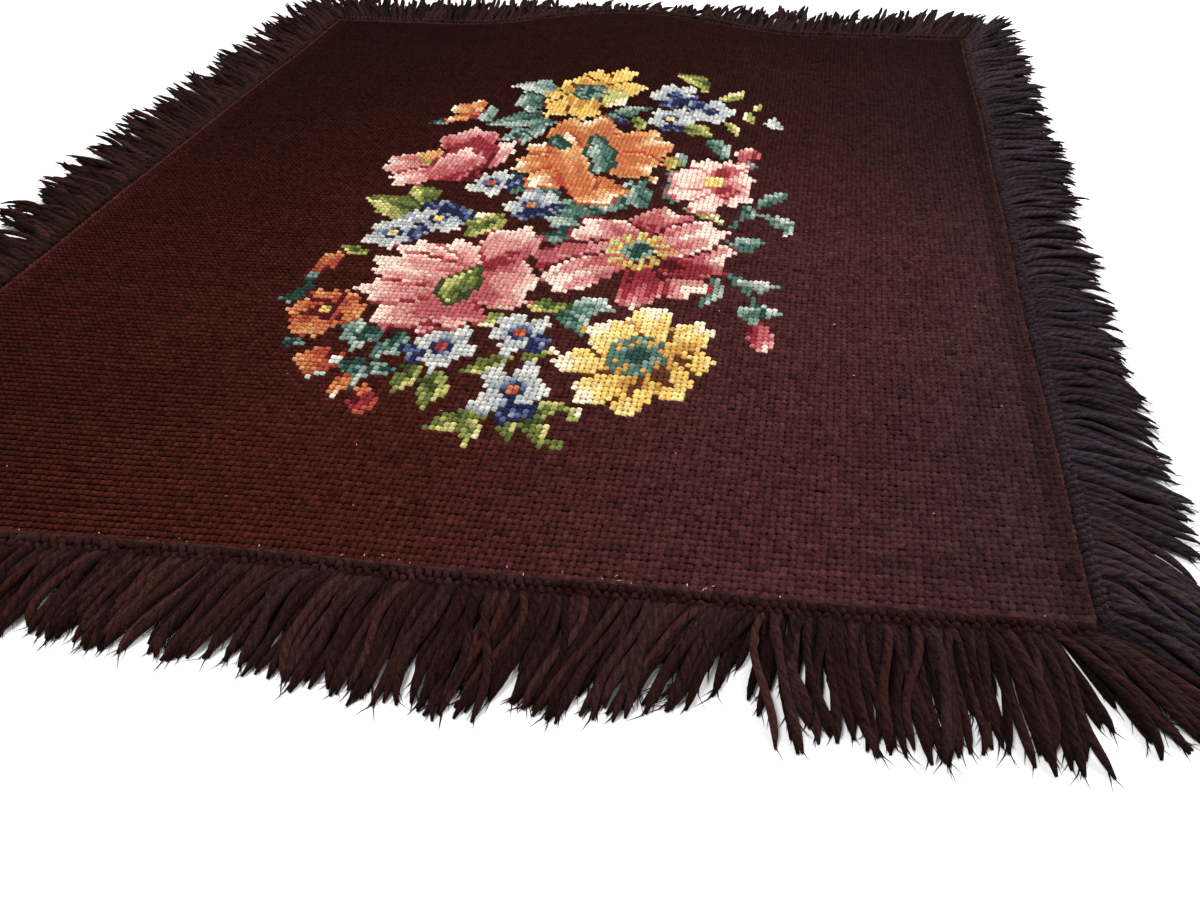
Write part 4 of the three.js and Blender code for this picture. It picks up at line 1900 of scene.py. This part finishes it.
    def spines(
        self, share: Array, below: int, locks: Array, rng: np.random.Generator
    ) -> tuple[Array, Array]:
        """The middle lines of a layer of yarns.

        Args:
            share: where along the side each yarn starts.
            below: how many layers lie below.
            locks: where the fringe parts into locks.
            rng: random draws.

        Returns:
            Points of each yarn, by ring, and the yarn's radius there.
        """
        layer, count = LAYERS[below], len(share)
        lean = self.leans(share, below, rng)
        shorter = np.minimum(np.cos(lean) / math.cos(self.widest_lean), 1)
        lock = np.clip(np.searchsorted(locks, share, side="right") - 1, 0, len(locks) - 2)
        longer = 1 + self.lock_unevenness * np.sin(self.lock_beat * lock)
        _, reach = self.lay_at(share)
        length = reach * shorter * longer * rng.uniform(*layer.lengths, count)
        length = (length - layer.root_out)[:, None]
        middle = (locks[lock] + locks[lock + 1]) / 2
        held = np.clip(np.minimum(share, 1 - share) / self.corner, 0, 1)
        drawn = self.hang.gathers[below] * rng.uniform(*self.gather_range, count)
        gather = (held * (middle - share) * self.length * drawn)[:, None]
        step = self.yarn.steps()
        sideways = length * step * np.tan(lean)[:, None] + gather * step**self.gather_curve
        sideways = sideways + self.sway(count, layer.stray, rng)
        u, v, edge_height = self.off_edge(share, layer.root_out + length * step, sideways)
        radius = self.yarn.radii(count, self.hang, rng)
        lying = radius * self.yarn.flatness + self.clearance + edge_height * (1 - step) ** 2
        return self.lie.square_off(u, v, lying + self.rises(share, below, rng)), radius

    def knots(self, count: int, row: int, rng: np.random.Generator) -> Array:
        """A row of knots over the roots, just off the stitching.

        Args:
            count: knots in the row.
            row: which row, from the stitching out.
            rng: random draws.

        Returns:
            Points by knot, ring and side, and x, y, z.
        """
        off, size = self.knot_rows[row]
        share = np.clip(self.shares(count) + 0.5 * row / count, 0, self.last_knot)
        lean, _ = self.lay_at(share)
        outward, along, rise = self.knot.loops(lean, size, rng)
        u, v, edge_height = self.off_edge(share, off + outward, along)
        return self.lie.square_off(u, v, np.maximum(rise, self.clearance) + edge_height)

    def build(self, finish: bpy.types.Material, rng: np.random.Generator) -> bpy.types.Object:
        """Make the fringe of the side.

        Args:
            finish: the fringe's wool.
            rng: random draws.

        Returns:
            The piece, which stands for the side's solid.
        """
        count = round(self.length / self.spacing)
        locks = self.locks(rng)
        pile = MeshPile()
        for below, layer in enumerate(LAYERS):
            filled = round(count * layer.filling)
            even = self.shares(filled) + 0.5 * (below % 2) / filled
            strayed = even + rng.normal(0, self.share_scatter, filled) / filled
            fan = np.full(len(self.corner_leans), self.corner_share)
            share = np.append(np.clip(strayed, *self.first_and_last), fan)
            points, radius = self.spines(share, below, locks, rng)
            colour = self.yarn_colour(share, rng) * layer.level
            surface, lengths = self.yarn.surface(points, radius, rng)
            pile.add(surface, colour, lengths, wrap=True, cap=True)
            for _ in range(self.wisp.each):
                pile.add(self.wisp.spikes(points, rng), colour, wrap=True, cap=True)
        for row in range(len(self.knot_rows)):
            colour = self.yarn_colour(self.shares(count), rng)
            mixed = self.knot_own_shade * colour + self.knot_mean_shade * colour.mean(axis=0)
            pile.add(self.knots(count, row, rng), mixed, wrap=True)
        return pile.build(f"yarn_fringe_{self.side.value}", finish)


@dataclass
class OvercastEdge:
    """The overcast edge of the panel: slanted wraps of wool over its turned rim."""

    lie: Lie
    wrap_width: float = 0.62
    wrap_spread: float = 0.9
    bends: int = 6
    foot: float = 1.0 * MM
    rise: float = 3.2 * MM
    inset: float = 1.1 * MM
    roll: float = 1.6 * MM
    overhang: float = 1.4
    bulge: float = 0.25 * MM
    height_scatter: float = 0.05
    shade_scatter: float = 0.14
    shade_range: Place = (0.6, 1.5)
    wool: tuple[int, int, int] = (50, 30, 29)
    left_wool: tuple[int, int, int] = (61, 29, 29)

    def build(self, finish: bpy.types.Material, rng: np.random.Generator) -> bpy.types.Object:
        """Make the wraps of all four sides.

        Args:
            finish: the stitched wool.
            rng: random draws.

        Returns:
            The piece.
        """
        pile = MeshPile()
        for side in Side:
            fringe = FringeSide(self.lie, side)
            count = round(fringe.length / self.lie.pitch)
            share = fringe.shares(count)
            bend = np.linspace(0, 1, self.bends)[None, :, None]
            rib = np.linspace(-1, 1, 3)[None, None, :]
            across = (rib * self.wrap_width + bend - 0.5) * self.lie.pitch * self.wrap_spread
            angle = math.pi * bend
            outward = -self.inset + self.roll * (1 - np.cos(angle)) / 2 * self.overhang
            outward = outward - self.bulge * rib**2 * np.sin(angle)
            height = self.foot + (self.rise - self.foot) * np.sin(angle) * (1 - 0.2 * rib**2)
            height = height * rng.normal(1, self.height_scatter, count)[:, None, None]
            u, v, lifted = fringe.off_edge(share, outward, across)
            wool = self.left_wool if side is Side.LEFT else self.wool
            level = np.clip(rng.normal(1, self.shade_scatter, count), *self.shade_range)
            colour = linear_levels(wool) * level[:, None]
            pile.add(self.lie.square_off(u, v, height + lifted), colour)
        return pile.build("overcast_edge", finish)


@dataclass
class Lint:
    """Tiny pale bits of bare canvas and lint, most of them in the seam at the front."""

    lie: Lie
    in_seam: int = 30
    loose: int = 26
    size: float = 0.55 * MM
    girth: float = 0.28 * MM
    height: float = 3.3 * MM
    seam_rows: Place = (0.1, 1.1)
    loose_reach: Place = (0.01, 0.6)
    bunching: float = 1.5
    lengths: Place = (0.5, 1.2)
    levels: Place = (0.35, 1.0)
    wool: tuple[int, int, int] = (196, 170, 146)

    def build(self, finish: bpy.types.Material, rng: np.random.Generator) -> bpy.types.Object:
        """Make the bits as slim spikes that lie on the stitches.

        Args:
            finish: the stitched wool.
            rng: random draws.

        Returns:
            The piece.
        """
        lie = self.lie
        seam_column = rng.uniform(4, lie.across - 2, self.in_seam)
        loose_column = rng.uniform(4, lie.across - 4, self.loose)
        seam_row = rng.uniform(*self.seam_rows, self.in_seam)
        loose_row = lie.deep * rng.uniform(*self.loose_reach, self.loose) ** self.bunching
        u, v = lie.spread(
            np.concatenate([seam_column, loose_column]), np.concatenate([seam_row, loose_row])
        )
        heading = rng.uniform(0, math.pi, len(u))[:, None, None]
        step = np.linspace(-1, 1, 3)[None, :, None]
        reach = self.size * rng.uniform(*self.lengths, len(u))[:, None, None] * step
        slim = self.girth * (1 - 0.7 * np.abs(step))
        around = np.linspace(0, 2 * math.pi, 3, endpoint=False)[None, None, :]
        aside = slim * np.cos(around)
        x = u[:, None, None] + reach * np.cos(heading) - aside * np.sin(heading)
        y = v[:, None, None] + reach * np.sin(heading) + aside * np.cos(heading)
        pile = MeshPile()
        colour = linear_levels(self.wool) * rng.uniform(*self.levels, len(u))[:, None]
        pile.add(lie.place(x, y, self.height + slim * np.sin(around)), colour, wrap=True, cap=True)
        return pile.build("pale_lint", finish)


@dataclass(frozen=True)
class Studio:
    """A pale floor, soft light and a camera at the photograph's angle.

    lamps gives each lamp's name, place, size in metres and power in watts.
    """

    eye: tuple[float, float, float] = (0.0846, -0.3571, 0.2098)
    pitch: float = 0.8491
    heading: float = 0.1718
    roll: float = -0.0079
    focal_pixels: float = 740.8
    frame_width: float = 1200.0
    sensor: float = 36.0
    nearest: float = 0.01
    floor_size: float = 8.0
    sky: tuple[float, float, float, float] = (1.0, 0.985, 0.97, 1.0)
    sky_strength: float = 0.5
    lamps: tuple[tuple[str, tuple[float, float, float], float, float], ...] = (
        ("window", (1.0, 0.5, 0.75), 0.5, 17.0),
        ("overhead", (-0.5, -0.1, 1.3), 0.5, 17.0),
    )

    def camera(self) -> None:
        """Make the camera."""
        data = bpy.data.cameras.new("camera")
        data.sensor_width = self.sensor
        data.lens = self.focal_pixels / self.frame_width * self.sensor
        data.clip_start = self.nearest
        camera = bpy.data.objects.new("camera", data)
        turn = Matrix.Rotation(self.heading, 4, "Z") @ Matrix.Rotation(math.pi / 2 - self.pitch, 4, "X")
        camera.matrix_world = Matrix.Translation(self.eye) @ turn @ Matrix.Rotation(self.roll, 4, "Z")
        bpy.context.scene.collection.objects.link(camera)
        bpy.context.scene.camera = camera

    def floor(self) -> None:
        """Make the floor."""
        half = self.floor_size / 2
        corners = [(-half, -half, 0), (half, -half, 0), (half, half, 0), (-half, half, 0)]
        mesh = bpy.data.meshes.new("floor")
        mesh.from_pydata(corners, [], [(0, 1, 2, 3)])
        mesh.materials.append(FloorFinish().material())
        floor = bpy.data.objects.new("floor", mesh)
        bpy.context.scene.collection.objects.link(floor)

    def lamp(self, name: str, spot: tuple[float, float, float], size: float, power: float) -> None:
        """Hang a soft square lamp that faces the middle of the panel.

        Args:
            name: its name.
            spot: where it hangs.
            size: length of its side.
            power: its power in watts.
        """
        data = bpy.data.lights.new(name, "AREA")
        data.energy = power
        data.size = size
        lamp = bpy.data.objects.new(name, data)
        aim = (Vector((0, 0, 0)) - Vector(spot)).to_track_quat("-Z", "Y")
        lamp.matrix_world = Matrix.Translation(spot) @ aim.to_matrix().to_4x4()
        bpy.context.scene.collection.objects.link(lamp)

    def light(self) -> None:
        """Light the scene softly from all round, and more from the lamps."""
        world = bpy.data.worlds.new("soft_room")
        world.use_nodes = True
        sky = world.node_tree.nodes["Background"]
        sky.inputs["Color"].default_value = self.sky
        sky.inputs["Strength"].default_value = self.sky_strength
        bpy.context.scene.world = world
        for name, spot, size, power in self.lamps:
            self.lamp(name, spot, size, power)
        bpy.context.scene.view_settings.view_transform = "Standard"

    def build(self) -> None:
        """Make the whole studio."""
        self.camera()
        self.floor()
        self.light()


def main() -> None:
    """Build the panel's pieces in order and report each one."""
    rng = np.random.default_rng(SEED)
    Studio().build()
    lie = Lie()
    chart = StitchChart(lie.across, lie.deep, SEED)
    Bouquet().work(chart)
    stitched = STITCHED_WOOL.material()
    yarn = FRINGE_YARN.material()
    face = StitchedFace(lie, chart).build(stitched, rng)
    sheet = CanvasSheet(lie, chart).build(stitched)
    edge = OvercastEdge(lie).build(stitched, rng)
    lint = Lint(lie).build(stitched, rng)
    fringes = [FringeSide(lie, side).build(yarn, rng) for side in Side]
    for piece in (*face, sheet, edge, lint):
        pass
    for piece, side in zip(fringes, Side):
        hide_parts(f"fringe_{side.value}")
    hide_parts("canvas_panel")
    for piece in (*face, sheet, edge, lint, *fringes):
        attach(piece, BODY)
        LOG.info("%s: %d faces", piece.name, len(piece.data.polygons))
    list(face)


if __name__ == "__main__":
    logging.basicConfig(level=logging.INFO)
    main()
